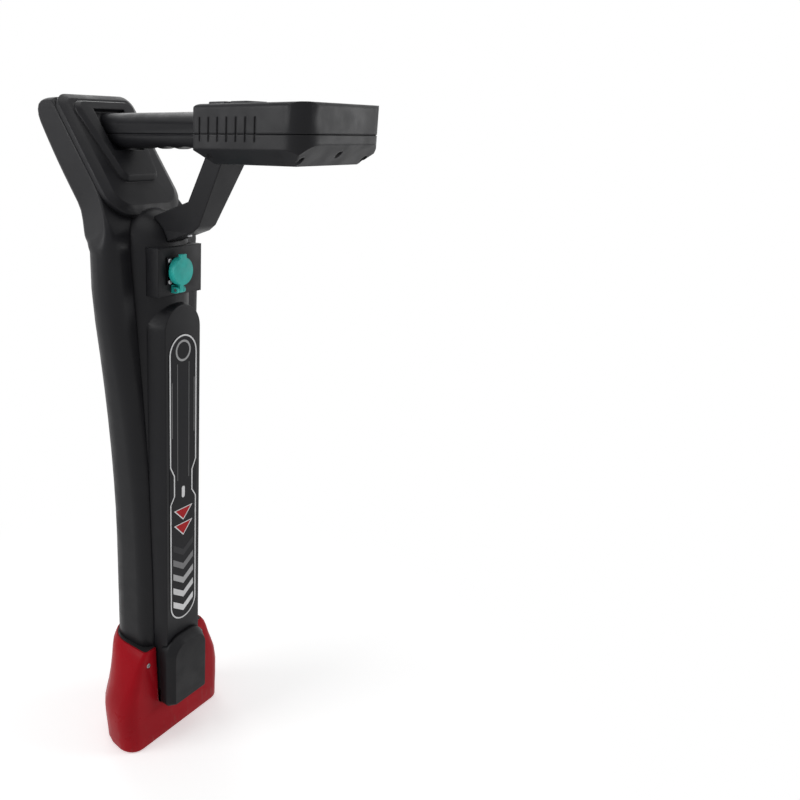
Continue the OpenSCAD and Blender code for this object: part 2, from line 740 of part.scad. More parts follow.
// The cover's section across a half width, as [X, out] points
function cover_profile(out) = [[cover_back_x, 0], [cover_back_x, out], [cover_side_x, out],
    [cover_x, out - cover_bevel], [cover_x, 0]];
module cover_solid() {
    arch_z = cover_top_z - cover_arch_r;
    arch_y = cover_base_w - cover_arch_r;
    round_y = cover_base_w - cover_corner_r;
    round_z = cover_low_z + cover_corner_r;
    for (y = [-arch_y, arch_y]) translate([0, y, arch_z]) cover_round(cover_arch_r);
    translate([0, 0, arch_z]) bar_y(arch_y) polygon(cover_profile(cover_arch_r));
    for (y = [-round_y, round_y]) translate([0, y, round_z]) cover_round(cover_corner_r);
    translate([0, 0, round_z]) mirror([0, 0, 1]) bar_y(round_y) polygon(cover_profile(cover_corner_r));
    for (m = [0, 1]) mirror([0, m, 0])
        translate([0, 0, round_z]) linear_extrude(arch_z - round_z) polygon(cover_profile(cover_base_w));
}
// The plateau's section below its round top, grown by a clearance
module plateau_section(grow) {
    base = plateau_w + plateau_draft + grow;
    face = plateau_w + grow;
    linear_extrude(far) polygon([[plateau_base_x, -base], [plateau_x + grow, -face],
        [plateau_x + grow, face], [plateau_base_x, base]]);
}
module battery_cover() {
    rim_w = bay_w - gap;
    rim_low_z = bay_low_z + gap;
    rim_high_z = bay_top_z - gap;
    color(black) difference() {
        union() {
            difference() {
                cover_solid();
                plateau_section(gap);
            }
            translate([plateau_x - plug_depth, -rim_w, rim_low_z])
                cube([plug_depth + over, 2 * rim_w, rim_high_z - rim_low_z]);
        }
        translate([0, shell_wall - rim_w, rim_low_z + shell_wall])
            cube([cover_x - shell_wall, 2 * (rim_w - shell_wall), rim_high_z - rim_low_z - 2 * shell_wall]);
    }
}

cell_gap = 0.2;
tray_back_x = -spine_x;
tray_w = cell_d + 1.5 * cell_gap + tray_wall;
tray_len = 2 * cell_d + 3 * cell_gap + tray_wall;
module battery_tray() {
    color(black) difference() {
        translate([tray_back_x, -tray_w, cell_z - tray_wall])
            cube([tray_len, 2 * tray_w, cell_len + 2 * tray_wall]);
        translate([tray_back_x + tray_wall, -tray_w + tray_wall, cell_z])
            cube([tray_len, 2 * (tray_w - tray_wall), cell_len + cell_gap]);
    }
}
module battery_cells() {
    step = cell_d + cell_gap;
    color(teal) for (i = [0, 1], y = [-step / 2, step / 2])
        translate([tray_back_x + tray_wall + cell_gap + cell_d / 2 + i * step, y, cell_z])
            cylinder(h = cell_len, d = cell_d);
}

// The display box and the handle
box_front_x = box_back_x + box_len;
module box_outline(inset) {
    front_c = box_front_x - box_corner_r;
    back_c = box_back_x + box_back_r;
    for (y = [-1, 1]) {
        translate([front_c, y * (box_w - box_corner_r)]) circle(r = box_corner_r - inset);
        translate([back_c, y * (box_w - box_back_r)]) circle(r = box_back_r - inset);
    }
    translate([back_c, inset - box_w]) square([front_c - back_c, 2 * (box_w - inset)]);
    translate([box_back_x + inset, box_back_r - box_w])
        square([box_back_r - inset, 2 * (box_w - box_back_r)]);
    translate([front_c, box_corner_r - box_w]) square([box_corner_r - inset, 2 * (box_w - box_corner_r)]);
}
module box_prism(inset, z0, z1) {
    translate([0, 0, z0]) linear_extrude(z1 - z0) box_outline(inset);
}
// The box's upper half with its rounded top edges, drawn in by an inset
top_arc_n = 6;
module box_high(inset, z1) {
    z0 = seam_z - (inset > 0 ? over : 0);
    x0 = box_back_x + inset;
    x1 = box_front_x - inset;
    w = box_w - inset;
    back_r = top_back_r - inset;
    r = top_edge_r - inset;
    intersection() {
        box_prism(inset, z0, z1);
        bar_y(far) polygon(concat([[x0, z0]], arc(x0 + back_r, z1 - back_r, back_r, 180, 90, top_arc_n),
            arc(x1 - r, z1 - r, r, 90, 0, top_arc_n), [[x1, z0]]));
        plate_x(0, far) polygon(concat([[-w, z0]], arc(r - w, z1 - r, r, 180, 90, top_arc_n),
            arc(w - r, z1 - r, r, 90, 0, top_arc_n), [[w, z0]]));
    }
}
// The box's lower half with its bevel, drawn in by an inset
module box_low(inset) {
    z0 = box_low_z + inset;
    z1 = box_low_z + bevel_h + inset / 2;
    front_z = box_low_z + front_bevel_h + inset / 2;
    z2 = seam_z + (inset > 0 ? over : 0);
    x0 = box_back_x + inset;
    x1 = box_front_x - inset;
    w = box_w - inset;
    intersection() {
        box_prism(inset, z0, z2);
        bar_y(far) polygon([[x0, z2], [x0, z1], [x0 + bevel_in, z0],
            [x1 - front_bevel_in, z0], [x1, front_z], [x1, z2]]);
        plate_x(0, far) polygon([[-w, z2], [-w, z1], [bevel_in - w, z0],
            [w - bevel_in, z0], [w, z1], [w, z2]]);
    }
}
handle_from_x = -90;
handle_into = box_wall / 2;
module handle_bar(z0, z1) {
    intersection() {
        plate_x(handle_from_x, box_back_x + handle_into) {
            for (y = [-1, 1], z = [handle_low_z + handle_r, handle_top_z - handle_r])
                translate([y * (handle_w / 2 - handle_r), z]) circle(r = handle_r);
            translate([-handle_w / 2, handle_low_z + handle_r]) square([handle_w, handle_h - 2 * handle_r]);
            translate([handle_r - handle_w / 2, handle_low_z]) square([handle_w - 2 * handle_r, handle_h]);
        }
        translate([-far, -far, z0]) cube([2 * far, 2 * far, z1 - z0]);
    }
}
module behind_seat() {
    on_head() translate([seat_x - far, -far, -far]) cube([far, 2 * far, 2 * far]);
}
module wire_channel() {
    translate([0, 0, seam_z]) rod_x(handle_from_x, box_back_x + 2 * box_wall, channel_r);
}
// The shadow line along the seam, cut into the lower half of the box and the handle
line_h = 0.7;
line_in = 0.7;
module seam_line() {
    difference() {
        box_prism(-over, seam_z - line_h, seam_z + over);
        box_prism(line_in, seam_z - 2 * line_h, seam_z + 2 * over);
    }
    for (m = [0, 1]) mirror([0, m, 0]) translate([handle_from_x, handle_w / 2 - line_in, seam_z - line_h])
        cube([box_back_x - handle_from_x, over + line_in, line_h + over]);
}
rib_back = 9;
rib_below = 6;
rib_drop = 10;
rib_x = box_back_x + rib_back;
rib_low_z = seam_z - rib_below;
rib_top_z = box_top_z - rib_drop;
module grip_ribs() {
    for (i = [0 : rib_n - 1], y = [-box_w - rib_depth, box_w - rib_depth])
        translate([rib_x + i * rib_pitch, y, rib_low_z]) cube([rib_w, 2 * rib_depth, rib_top_z - rib_low_z]);
}
seal_w = 1.2;
seal_h = 1.5;
module case_seal() {
    color(black) difference() {
        box_prism(box_wall - seal_w, seam_z, seam_z + seal_h);
        box_prism(box_wall, seam_z - over, seam_z + seal_h + over);
    }
}

mat_wall = 1.6;
mat_x = box_back_x + top_back_r + mat_wall + gap;
key_back_x = mat_x + gap + key_rim + key_len / 2;
key_area_x = 2 * key_rim + key_len + key_pitch_x + 2 * gap;
window_x = mat_x + key_area_x + mat_wall + over;
window_len = box_front_x - window_front - window_x;
KEYS = ["key_power", "key_mode", "key_frequency", "key_gain_up", "key_gain_down", "key_sound"];
function key_place(i) = [key_back_x + floor(i / 3) * key_pitch_x, (i % 3 - 1) * key_pitch_y];
module upper_case() {
    color(charcoal) difference() {
        union() {
            difference() {
                box_high(0, box_top_z);
                box_high(box_wall, box_top_z - top_wall);
            }
            handle_bar(seam_z, handle_top_z);
            intersection() {
                box_prism(0, seam_z, seam_z + boss_h);
                at_case_screws() upper_boss();
            }
        }
        box_prism(box_wall - seal_w, seam_z - over, seam_z + seal_h);
        translate([window_x, -window_w, box_top_z - window_t]) cube([window_len, 2 * window_w, far]);
        translate([window_x + window_ledge, window_ledge - window_w, seam_z])
            cube([window_len - 2 * window_ledge, 2 * (window_w - window_ledge), far]);
        for (i = [0 : len(KEYS) - 1]) translate(key_place(i))
            translate([-key_len / 2 - gap, -key_w / 2 - gap, box_top_z - 2 * top_wall])
                cube([key_len + 2 * gap, key_w + 2 * gap, far]);
        at_case_screws() translate([0, 0, seam_z - over])
            cylinder(h = case_screw_grip + over, r = screw_r + pin_clear);
        grip_ribs();
        wire_channel();
        behind_seat();
    }
}

// Screws that rise through the box's lower bevel, into bosses with a web that reaches the wall
screw_inset = 8;
screw_back = 14;
corner_share = 0.7;
corner_step = box_corner_r * corner_share - over;
case_screw_sit = 12.5;
case_screw_grip = 8;
boss_h = case_screw_grip + 2;
web_t = 3;
case_screw_z = box_low_z + case_screw_sit;
// Each screw's place and the direction of its boss's web: [x, y, angle]
case_screw_at = [[box_back_x + screw_back, screw_inset - box_w, -90],
    [box_back_x + screw_back, box_w - screw_inset, 90],
    [box_front_x - screw_inset, 0, 0],
    [box_front_x - corner_step, corner_step - box_w, -45],
    [box_front_x - corner_step, box_w - corner_step, 45]];
module at_case_screws() {
    for (p = case_screw_at) translate([p[0], p[1], 0]) rotate([0, 0, p[2]]) children();
}
module upper_boss() {
    translate([0, 0, seam_z]) cylinder(h = boss_h, r = boss_r);
    translate([0, -web_t / 2, seam_z]) cube([2 * screw_inset, web_t, boss_h]);
}

// The strut: its outline seen from the side, and how it narrows towards its foot
strut_root_z = handle_low_z + handle_r;
strut_slope = 0.59;
strut_mid_rise = 49;
strut_mid_z = neck_z + strut_mid_rise;
strut_knee_x = 69;
strut_depth = 19.5;
limb_slope = 0.35;
limb_h = 28.5;
toe_in = 15;
toe_out = 7;
toe_h = 5.5;
function limb_z(x) = strut_mid_z - (strut_knee_x - x) * limb_slope;
module strut_solid(grow, end_x) {
    back_top_x = strut_knee_x + (strut_root_z - strut_mid_z) * strut_slope;
    front_foot_x = strut_knee_x + strut_depth - toe_in;
    intersection() {
        bar_y(far) polygon([[back_top_x - grow, strut_root_z], [strut_knee_x - grow, strut_mid_z + grow],
            [end_x, limb_z(end_x) + grow], [end_x, limb_z(end_x) - limb_h - grow],
            [front_foot_x, limb_z(front_foot_x) - limb_h - grow],
            [front_foot_x + toe_out + grow, limb_z(front_foot_x) - limb_h + toe_h],
            [back_top_x + strut_depth + grow, strut_root_z]]);
        plate_x(0, far) polygon([[-strut_top_w - grow, strut_root_z],
            [-strut_foot_w - grow, limb_z(strut_knee_x) - limb_h],
            [-strut_foot_w - grow, neck_z - far], [strut_foot_w + grow, neck_z - far],
            [strut_foot_w + grow, limb_z(strut_knee_x) - limb_h], [strut_top_w + grow, strut_root_z]]);
    }
}
post_r = 3;
post_back = 16;
post_front = 28;
post_side = 26;
post_at = [for (x = [box_back_x + post_back, box_front_x - post_front],
    y = [post_side - box_w, box_w - post_side]) [x, y]];
strut_screw_x = 58;
strut_screw_len = 8;
strut_seat_z = limb_z(strut_screw_x) - limb_h + screw_head_r * limb_slope;
module lower_case() {
    color(charcoal) difference() {
        union() {
            difference() {
                union() {
                    box_low(0);
                    difference() {
                        handle_bar(handle_low_z, seam_z);
                        for (i = [0 : groove_n - 1])
                            translate([groove_x + i * groove_pitch, 0, handle_low_z + groove_depth - groove_r])
                                rod_y(2 * handle_w, groove_r);
                    }
                    intersection() {
                        strut_solid(0, strut_foot_x);
                        translate([0, -far, 0]) cube([far, 2 * far, seam_z]);
                    }
                }
                box_low(box_wall);
            }
            intersection() {
                box_low(0);
                at_case_screws() translate([0, 0, box_low_z]) cylinder(h = seam_rise, r = boss_r);
            }
            for (p = post_at) translate([p[0], p[1], box_low_z + box_wall / 2])
                cylinder(h = board_rise - box_wall / 2, r = post_r);
        }
        at_case_screws() translate([0, 0, box_low_z - over])
            cylinder(h = case_screw_sit + over, r = screw_head_r + pin_clear);
        at_case_screws() translate([0, 0, box_low_z]) cylinder(h = far, r = screw_r + pin_clear);
        translate([strut_screw_x, 0, strut_seat_z - over])
            cylinder(h = strut_screw_len + 2 * over, r = screw_r + pin_clear);
        translate([strut_screw_x, 0, strut_seat_z - 2 * screw_head_h])
            cylinder(h = 2 * screw_head_h, r = screw_head_r + pin_clear);
        seam_line();
        grip_ribs();
        wire_channel();
        behind_seat();
    }
}
module case_screws() {
    color(steel) at_case_screws() translate([0, 0, case_screw_z])
        screw_up(seam_z + case_screw_grip - over - case_screw_z, screw_r, screw_head_r, screw_head_h);
}
module strut_screw() {
    color(steel) translate([strut_screw_x, 0, strut_seat_z])
        screw_up(strut_screw_len, screw_r, screw_head_r, screw_head_h);
}

window_gap = gap / 2;
display_lap = 0.8;
display_grey = [0.35, 0.40, 0.36];
window_dark = [0.10, 0.12, 0.13];
module display_window() {
    color(window_dark) translate([window_x + window_gap, window_gap - window_w, box_top_z - window_t])
        cube([window_len - 2 * window_gap, 2 * (window_w - window_gap), window_t]);
}
module display_panel() {
    inset = window_ledge - display_lap;
    color(display_grey) translate([window_x + inset, inset - window_w, box_top_z - top_wall - display_t])
        cube([window_len - 2 * inset, 2 * (window_w - inset), display_t]);
}
board_margin = 12;
module main_board() {
    color(board_green) translate([box_back_x + board_margin, board_margin + over - box_w, board_z])
        cube([box_len - 3 * board_margin, 2 * (box_w - board_margin - over), board_t]);
}
module loudspeaker() {
    color(black) translate([box_back_x + box_len / 2, 0, box_low_z + box_wall])
        cylinder(h = speaker_h, d = speaker_d);
}

// The keys and the mat under them: a tray that hangs from the box's top
mat_t = 2;
mat_drop = key_rim_t + key_travel + 2 * gap;
key_area_w = key_rim + key_w / 2 + key_pitch_y + gap;
module key_mat() {
    under = box_top_z - top_wall;
    color(black) difference() {
        translate([mat_x - mat_wall, -key_area_w - mat_wall, under - mat_drop - mat_t])
            cube([key_area_x + 2 * mat_wall, 2 * (key_area_w + mat_wall), mat_drop + mat_t]);
        translate([mat_x, -key_area_w, under - mat_drop]) cube([key_area_x, 2 * key_area_w, far]);
    }
}
module key(i) {
    under = box_top_z - top_wall;
    color(black) translate(key_place(i)) {
        translate([-key_len / 2, -key_w / 2, under - gap - key_rim_t])
            cube([key_len, key_w, gap + key_rim_t + top_wall + key_proud]);
        translate([-key_len / 2 - key_rim, -key_w / 2 - key_rim, under - gap - key_rim_t])
            cube([key_len + 2 * key_rim, key_w + 2 * key_rim, key_rim_t]);
    }
}

// The accessory socket on the neck
flange_x = housing_x + flange_t;
nose_x = flange_x + nose_len;
socket_floor = 4;
socket_depth = 10;
socket_floor_x = housing_x - socket_floor;
socket_back_x = housing_x - socket_depth;
module at_socket() {
    translate([0, socket_y, socket_z]) children();
}
module at_socket_screws() {
    for (y = [-flange_pitch / 2, flange_pitch / 2], z = [-flange_pitch / 2, flange_pitch / 2])
        at_socket() translate([flange_x, y, z]) rotate([0, 0, 180]) children();
}
small_screw_len = flange_x - lobe_x - lobe_r - gap;
module socket_housing() {
    color(charcoal) difference() {
        translate([lobe_x, -housing_w, housing_low_z]) cube([housing_x - lobe_x, 2 * housing_w, housing_h]);
        lobe_solid(lobe_r + seat_gap, 0);
        behind_parting();
        at_socket() rod_x(0, far, socket_body_r + seat_gap);
        at_socket_screws() rod_x(-far / 4, small_screw_len + over, small_screw_r + pin_clear);
    }
}
module socket() {
    color(steel) difference() {
        union() {
            at_socket() translate([housing_x, -flange_w / 2, -flange_w / 2])
                cube([flange_t, flange_w, flange_w]);
            at_socket() rod_x(flange_x - over, nose_x, nose_r);
            at_socket() rod_x(socket_back_x, flange_x - over, socket_body_r);
        }
        at_socket() rod_x(socket_floor_x, far, socket_r);
        at_socket_screws() rod_x(-over, flange_t + over, small_screw_r + pin_clear);
    }
}
insert_t = 3;
pin_len = 5;
contact_r = 0.8;
contact_ring = 4;
contact_n = 5;
module socket_insert() {
    color(black) at_socket() {
        rod_x(socket_floor_x, socket_floor_x + insert_t, socket_r - seat_gap);
        for (i = [0 : contact_n - 1]) rotate([360 * i / contact_n, 0, 0]) translate([0, 0, contact_ring])
            rod_x(socket_floor_x + insert_t - over, socket_floor_x + insert_t + pin_len, contact_r);
    }
}
small_head_h = 1.4;
module socket_screws() {
    color(steel) at_socket_screws() screw_x(small_screw_len, small_screw_r, small_head_r, small_head_h);
}

// The dust cap, its pin and the strap that carries them
cap_pin_z = socket_z - cap_pin_drop;
knuckle_r = cap_pin_r + 1.6;
cap_pin_x = housing_x + flange_t + knuckle_r + gap;
cap_front_x = nose_x + gap + cap_wall;
ear_y = lug_w / 2 + gap;
strap_low_z = cap_pin_z - knuckle_r;
strap_top_z = socket_z - flange_w / 2 - gap;
pin_len_y = lug_w + 2 * gap + 2 * ear_w;
module at_cap_pin() {
    translate([cap_pin_x, socket_y, cap_pin_z]) children();
}
module cap_strap() {
    color(teal) difference() {
        union() {
            translate([housing_x, socket_y - ear_y - ear_w, strap_low_z])
                cube([flange_t, 2 * (ear_y + ear_w), strap_top_z - strap_low_z]);
            for (y = [-ear_y - ear_w / 2, ear_y + ear_w / 2]) at_cap_pin() translate([0, y, 0]) {
                rod_y(ear_w, knuckle_r);
                translate([housing_x - cap_pin_x, -ear_w / 2, -knuckle_r])
                    cube([cap_pin_x - housing_x, ear_w, 2 * knuckle_r]);
            }
        }
        at_cap_pin() rod_y(far, cap_pin_r + pin_clear);
    }
}
module cap_pin() {
    color(steel) at_cap_pin() rod_y(pin_len_y, cap_pin_r);
}
lift_tab_w = 8;
lift_tab_h = 3;
lift_tab_t = 3;
module dust_cap() {
    color(teal) difference() {
        union() {
            at_socket() rod_x(flange_x + small_head_h + gap, cap_front_x, cap_r);
            at_socket() translate([cap_front_x - lift_tab_t, -lift_tab_w / 2, 0])
                cube([lift_tab_t, lift_tab_w, cap_r + lift_tab_h]);
            at_cap_pin() rod_y(lug_w, knuckle_r);
            at_cap_pin() translate([-knuckle_r / 2, -lug_w / 2, 0])
                cube([1.5 * knuckle_r, lug_w, cap_pin_drop - cap_r + cap_wall]);
        }
        at_socket() rod_x(0, nose_x + gap, cap_r - cap_wall);
        at_cap_pin() rod_y(far, cap_pin_r + pin_clear);
    }
}

// The aerials on their spine
module spine() {
    color(board_green) translate([-spine_x - spine_t, -spine_w, boot_wall])
        cube([spine_t, 2 * spine_w, spine_top_z - boot_wall]);
}
module receiver_board() {
    color(board_green) translate([-spine_x, -receiver_w, receiver_z])
        cube([board_t, 2 * receiver_w, receiver_len]);
}
rod_x0 = winding_r - spine_x + seat_gap;
module winding(len) {
    difference() {
        cylinder(h = len, r = winding_r, center = true);
        cylinder(h = len + over, r = ferrite_r + seat_gap, center = true);
    }
}
module rod(len) {
    cylinder(h = len, r = ferrite_r, center = true);
}
module at_lower_rod() {
    translate([rod_x0, 0, lower_rod_z]) rotate([90, 0, 0]) children();
}
module at_upper_rod() {
    translate([rod_x0, 0, upper_rod_z]) rotate([90, 0, 0]) children();
}
module at_upright_rod() {
    translate([rod_x0, 0, upright_rod_z + upright_rod_len / 2]) children();
}
copper = [0.55, 0.30, 0.15];
ferrite_grey = [0.16, 0.16, 0.17];
module lower_ferrite() {
    color(ferrite_grey) at_lower_rod() rod(lower_rod_len);
}
module lower_winding() {
    color(copper) at_lower_rod() winding(lower_rod_len * winding_share);
}
module upper_ferrite() {
    color(ferrite_grey) at_upper_rod() rod(upper_rod_len);
}
module upper_winding() {
    color(copper) at_upper_rod() winding(upper_rod_len * winding_share);
}
module upright_ferrite() {
    color(ferrite_grey) at_upright_rod() rod(upright_rod_len);
}
module upright_winding() {
    color(copper) at_upright_rod() winding(upright_rod_len * winding_share);
}

rear_shell();
front_shell();
head_screws();
label();
boot();
boot_seal();
boot_screws();
battery_cover();
battery_tray();
battery_cells();
upper_case();
lower_case();
case_seal();
case_screws();
strut_screw();
display_window();
display_panel();
main_board();
loudspeaker();
key_mat();
key(0);  // key_power
key(1);  // key_mode
key(2);  // key_frequency
key(3);  // key_gain_up
key(4);  // key_gain_down
key(5);  // key_sound
socket_housing();
socket();
socket_insert();
socket_screws();
cap_strap();
cap_pin();
dust_cap();
spine();
receiver_board();
lower_ferrite();
lower_winding();
upper_ferrite();
upper_winding();
upright_ferrite();
upright_winding();
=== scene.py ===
import json
import math

import bmesh
import bpy
from mathutils import Matrix, Vector
from mathutils.geometry import intersect_point_line


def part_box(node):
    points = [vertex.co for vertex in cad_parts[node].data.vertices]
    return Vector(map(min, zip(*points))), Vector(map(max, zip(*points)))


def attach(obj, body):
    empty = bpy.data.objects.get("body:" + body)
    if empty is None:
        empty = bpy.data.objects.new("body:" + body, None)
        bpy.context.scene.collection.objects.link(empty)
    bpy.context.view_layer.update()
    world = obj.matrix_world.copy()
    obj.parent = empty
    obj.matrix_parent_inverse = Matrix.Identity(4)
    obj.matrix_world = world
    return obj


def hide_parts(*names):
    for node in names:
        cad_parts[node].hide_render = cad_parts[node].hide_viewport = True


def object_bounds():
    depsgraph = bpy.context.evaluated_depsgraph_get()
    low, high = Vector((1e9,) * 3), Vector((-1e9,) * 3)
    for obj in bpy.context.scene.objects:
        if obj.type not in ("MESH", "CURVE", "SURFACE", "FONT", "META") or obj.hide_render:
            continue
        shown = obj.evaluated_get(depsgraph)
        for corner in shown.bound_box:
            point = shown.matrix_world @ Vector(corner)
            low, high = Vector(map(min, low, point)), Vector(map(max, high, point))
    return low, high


bl_info = {
    "name": "Cable locator wand",
    "version": (1, 0, 0),
    "blender": (4, 5, 0),
    "location": "View3D > Sidebar > Locator",
    "description": "Dresses the solids of a cable locator's receiver wand: "
                   "finishes, label print, screws, keys and stage",
    "category": "Object",
}

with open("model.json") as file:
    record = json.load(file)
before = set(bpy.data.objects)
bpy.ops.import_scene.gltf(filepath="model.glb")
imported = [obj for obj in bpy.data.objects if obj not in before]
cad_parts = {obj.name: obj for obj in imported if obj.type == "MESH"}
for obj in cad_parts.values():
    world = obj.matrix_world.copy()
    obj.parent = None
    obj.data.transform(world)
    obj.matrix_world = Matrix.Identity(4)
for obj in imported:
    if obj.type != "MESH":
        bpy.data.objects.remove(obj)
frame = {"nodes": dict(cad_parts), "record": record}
CAD_BOX = [list(corner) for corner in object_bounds()]
WAND = "wand"
HEAD_LEAN = math.radians(37)
LABEL_FILM = (0.010, 0.010, 0.012)
DISPLAY_GREY = (0.24, 0.29, 0.23)
DISPLAY_INK = (0.012, 0.016, 0.014)
KEYS = ("key_power", "key_mode", "key_frequency", "key_gain_up", "key_gain_down", "key_sound")


class LocatorSizes(bpy.types.PropertyGroup):
    """Sizes of the small work that is added to the solids."""

    edge: bpy.props.FloatProperty(
        name="Moulded edge", description="Radius on the edges of the plastic mouldings",
        default=0.0011, min=0.0002, max=0.003, unit="LENGTH")
    fine_edge: bpy.props.FloatProperty(
        name="Fine edge", description="Radius on the edges of keys, cap and metal pieces",
        default=0.0006, min=0.0001, max=0.002, unit="LENGTH")
    print_lift: bpy.props.FloatProperty(
        name="Print thickness", description="Thickness of the ink on the label film",
        default=0.00008, min=0.00002, max=0.0003, unit="LENGTH")
    line_w: bpy.props.FloatProperty(
        name="Label border", description="Width of the label's border line",
        default=0.0016, min=0.0008, max=0.003, unit="LENGTH")
    chevron_count: bpy.props.IntProperty(
        name="Chevrons", description="Number of chevrons on the label", default=5, min=2, max=6)
    chevron_pitch: bpy.props.FloatProperty(
        name="Chevron pitch", description="Distance between chevrons",
        default=0.0171, min=0.012, max=0.02, unit="LENGTH")
    bar_count: bpy.props.IntProperty(
        name="Display bars", description="Number of bars in the display's signal bar",
        default=20, min=8, max=22)
    recess: bpy.props.FloatProperty(
        name="Screw recess",
        description="Half length of the cross recess as a share of the screw head's radius",
        default=0.62, min=0.3, max=0.8, subtype="FACTOR")


class LocatorColours(bpy.types.PropertyGroup):
    """Colours of the finishes."""

    plastic: bpy.props.FloatVectorProperty(
        name="Plastic", description="Moulded plastic of the wand, the handle and the box",
        subtype="COLOR", size=3, min=0, max=1, default=(0.0090, 0.0090, 0.0104))
    boot: bpy.props.FloatVectorProperty(
        name="Boot", description="Red of the boot",
        subtype="COLOR", size=3, min=0, max=1, default=(0.34, 0.0055, 0.0120))
    cap: bpy.props.FloatVectorProperty(
        name="Cap", description="Teal of the dust cap and its strap",
        subtype="COLOR", size=3, min=0, max=1, default=(0.014, 0.37, 0.33))
    print_white: bpy.props.FloatVectorProperty(
        name="White print", description="White ink on the label",
        subtype="COLOR", size=3, min=0, max=1, default=(0.66, 0.66, 0.67))
    print_red: bpy.props.FloatVectorProperty(
        name="Red print", description="Red ink on the label",
        subtype="COLOR", size=3, min=0, max=1, default=(0.36, 0.005, 0.009))


class LocatorSettings(bpy.types.PropertyGroup):
    """Everything that a user would change."""

    sizes: bpy.props.PointerProperty(type=LocatorSizes)
    colours: bpy.props.PointerProperty(type=LocatorColours)


# Finishes

EDGE_SAMPLES = 6
INK_ROUGHNESS = 0.42


class Finish:
    """A material whose patterns read the piece's own Object coordinates."""

    def __init__(self, name, colour, roughness, **sockets):
        name = "finish_" + name
        self.material = bpy.data.materials.get(name)
        self.fresh = self.material is None
        if not self.fresh:
            return
        self.material = bpy.data.materials.new(name)
        self.material.use_nodes = True
        self.nodes = self.material.node_tree.nodes
        self.links = self.material.node_tree.links
        self.shader = self.nodes["Principled BSDF"]
        self.colour = tuple(colour)
        self.shader.inputs["Base Color"].default_value = (*colour, 1)
        self.shader.inputs["Roughness"].default_value = roughness
        for socket, value in sockets.items():
            self.shader.inputs[socket.replace("_", " ")].default_value = value
        self.place = self.nodes.new("ShaderNodeTexCoord").outputs["Object"]

    def noise(self, scale, detail=3, stretch=None):
        place = self.place
        if stretch:
            mapping = self.nodes.new("ShaderNodeMapping")
            mapping.inputs["Scale"].default_value = stretch
            self.links.new(place, mapping.inputs["Vector"])
            place = mapping.outputs["Vector"]
        noise = self.nodes.new("ShaderNodeTexNoise")
        noise.inputs["Scale"].default_value = scale
        noise.inputs["Detail"].default_value = detail
        self.links.new(place, noise.inputs["Vector"])
        return noise.outputs["Fac"]

    def spread(self, value, low, high, from_low=0.35, from_high=0.65):
        """Maps one range of a value on to another."""
        ramp = self.nodes.new("ShaderNodeMapRange")
        ranges = {"From Min": from_low, "From Max": from_high, "To Min": low, "To Max": high}
        for name, number in ranges.items():
            ramp.inputs[name].default_value = number
        self.links.new(value, ramp.inputs["Value"])
        return ramp.outputs["Result"]

    def rough(self, value, low, high):
        self.links.new(self.spread(value, low, high), self.shader.inputs["Roughness"])

    def tint(self, layers):
        """Lays colours over the base one after another, each by its own mask."""
        last = None
        for mask, colour in layers:
            mix = self.nodes.new("ShaderNodeMix")
            mix.data_type = "RGBA"
            first, second = [s for s in mix.inputs if s.type == "RGBA"]
            result = [s for s in mix.outputs if s.type == "RGBA"][0]
            if last:
                self.links.new(last, first)
            else:
                first.default_value = (*self.colour, 1)
            second.default_value = (*colour, 1)
            self.links.new(mask, mix.inputs["Factor"])
            last = result
        self.links.new(last, self.shader.inputs["Base Color"])

    def soft_edges(self, radius):
        """Normals that round the sharp edges by a radius in metres."""
        node = self.nodes.new("ShaderNodeBevel")
        node.samples = EDGE_SAMPLES
        node.inputs["Radius"].default_value = radius
        return node.outputs["Normal"]

    def bump(self, layers, edges=0):
        """Adds layers of (height, strength, depth in metres) over edges rounded by a radius."""
        last = self.soft_edges(edges) if edges else None
        for height, strength, depth in layers:
            node = self.nodes.new("ShaderNodeBump")
            node.inputs["Strength"].default_value = strength
            node.inputs["Distance"].default_value = depth
            self.links.new(height, node.inputs["Height"])
            if last:
                self.links.new(last, node.inputs["Normal"])
            last = node.outputs["Normal"]
        self.links.new(last, self.shader.inputs["Normal"])

    def height(self, low, high):
        """0 below the first height and 1 above the second, in metres."""
        split = self.nodes.new("ShaderNodeSeparateXYZ")
        self.links.new(self.place, split.inputs["Vector"])
        return self.spread(split.outputs["Z"], 0, 1, low, high)

    def times(self, a, b):
        node = self.nodes.new("ShaderNodeMath")
        node.operation = "MULTIPLY"
        self.links.new(a, node.inputs[0])
        self.links.new(b, node.inputs[1])
        return node.outputs["Value"]


def shade(colour, factor):
    return tuple(min(1, c * factor) for c in colour)


def moulded_plastic(name, colour, roughness=0.40, grain=0.08):
    """Spark-eroded moulded plastic: fine grain, faint handling marks and slow colour drift."""
    f = Finish(name, colour, roughness, Specular_IOR_Level=0.16)
    if f.fresh:
        drift = f.spread(f.noise(9, detail=2), 0, 1)
        marks = f.spread(f.noise(38, detail=5), 0, 0.5, from_low=0.58, from_high=0.8)
        f.tint([(drift, shade(colour, 1.18)), (marks, shade(colour, 1.6))])
        f.rough(f.noise(60, detail=4), roughness - 0.05, roughness + 0.07)
        waves = f.noise(70, detail=2)
        f.bump([(f.noise(2600, detail=2), grain, 0.0003), (waves, 0.04, 0.0008)], edges=0.0018)
    return f.material


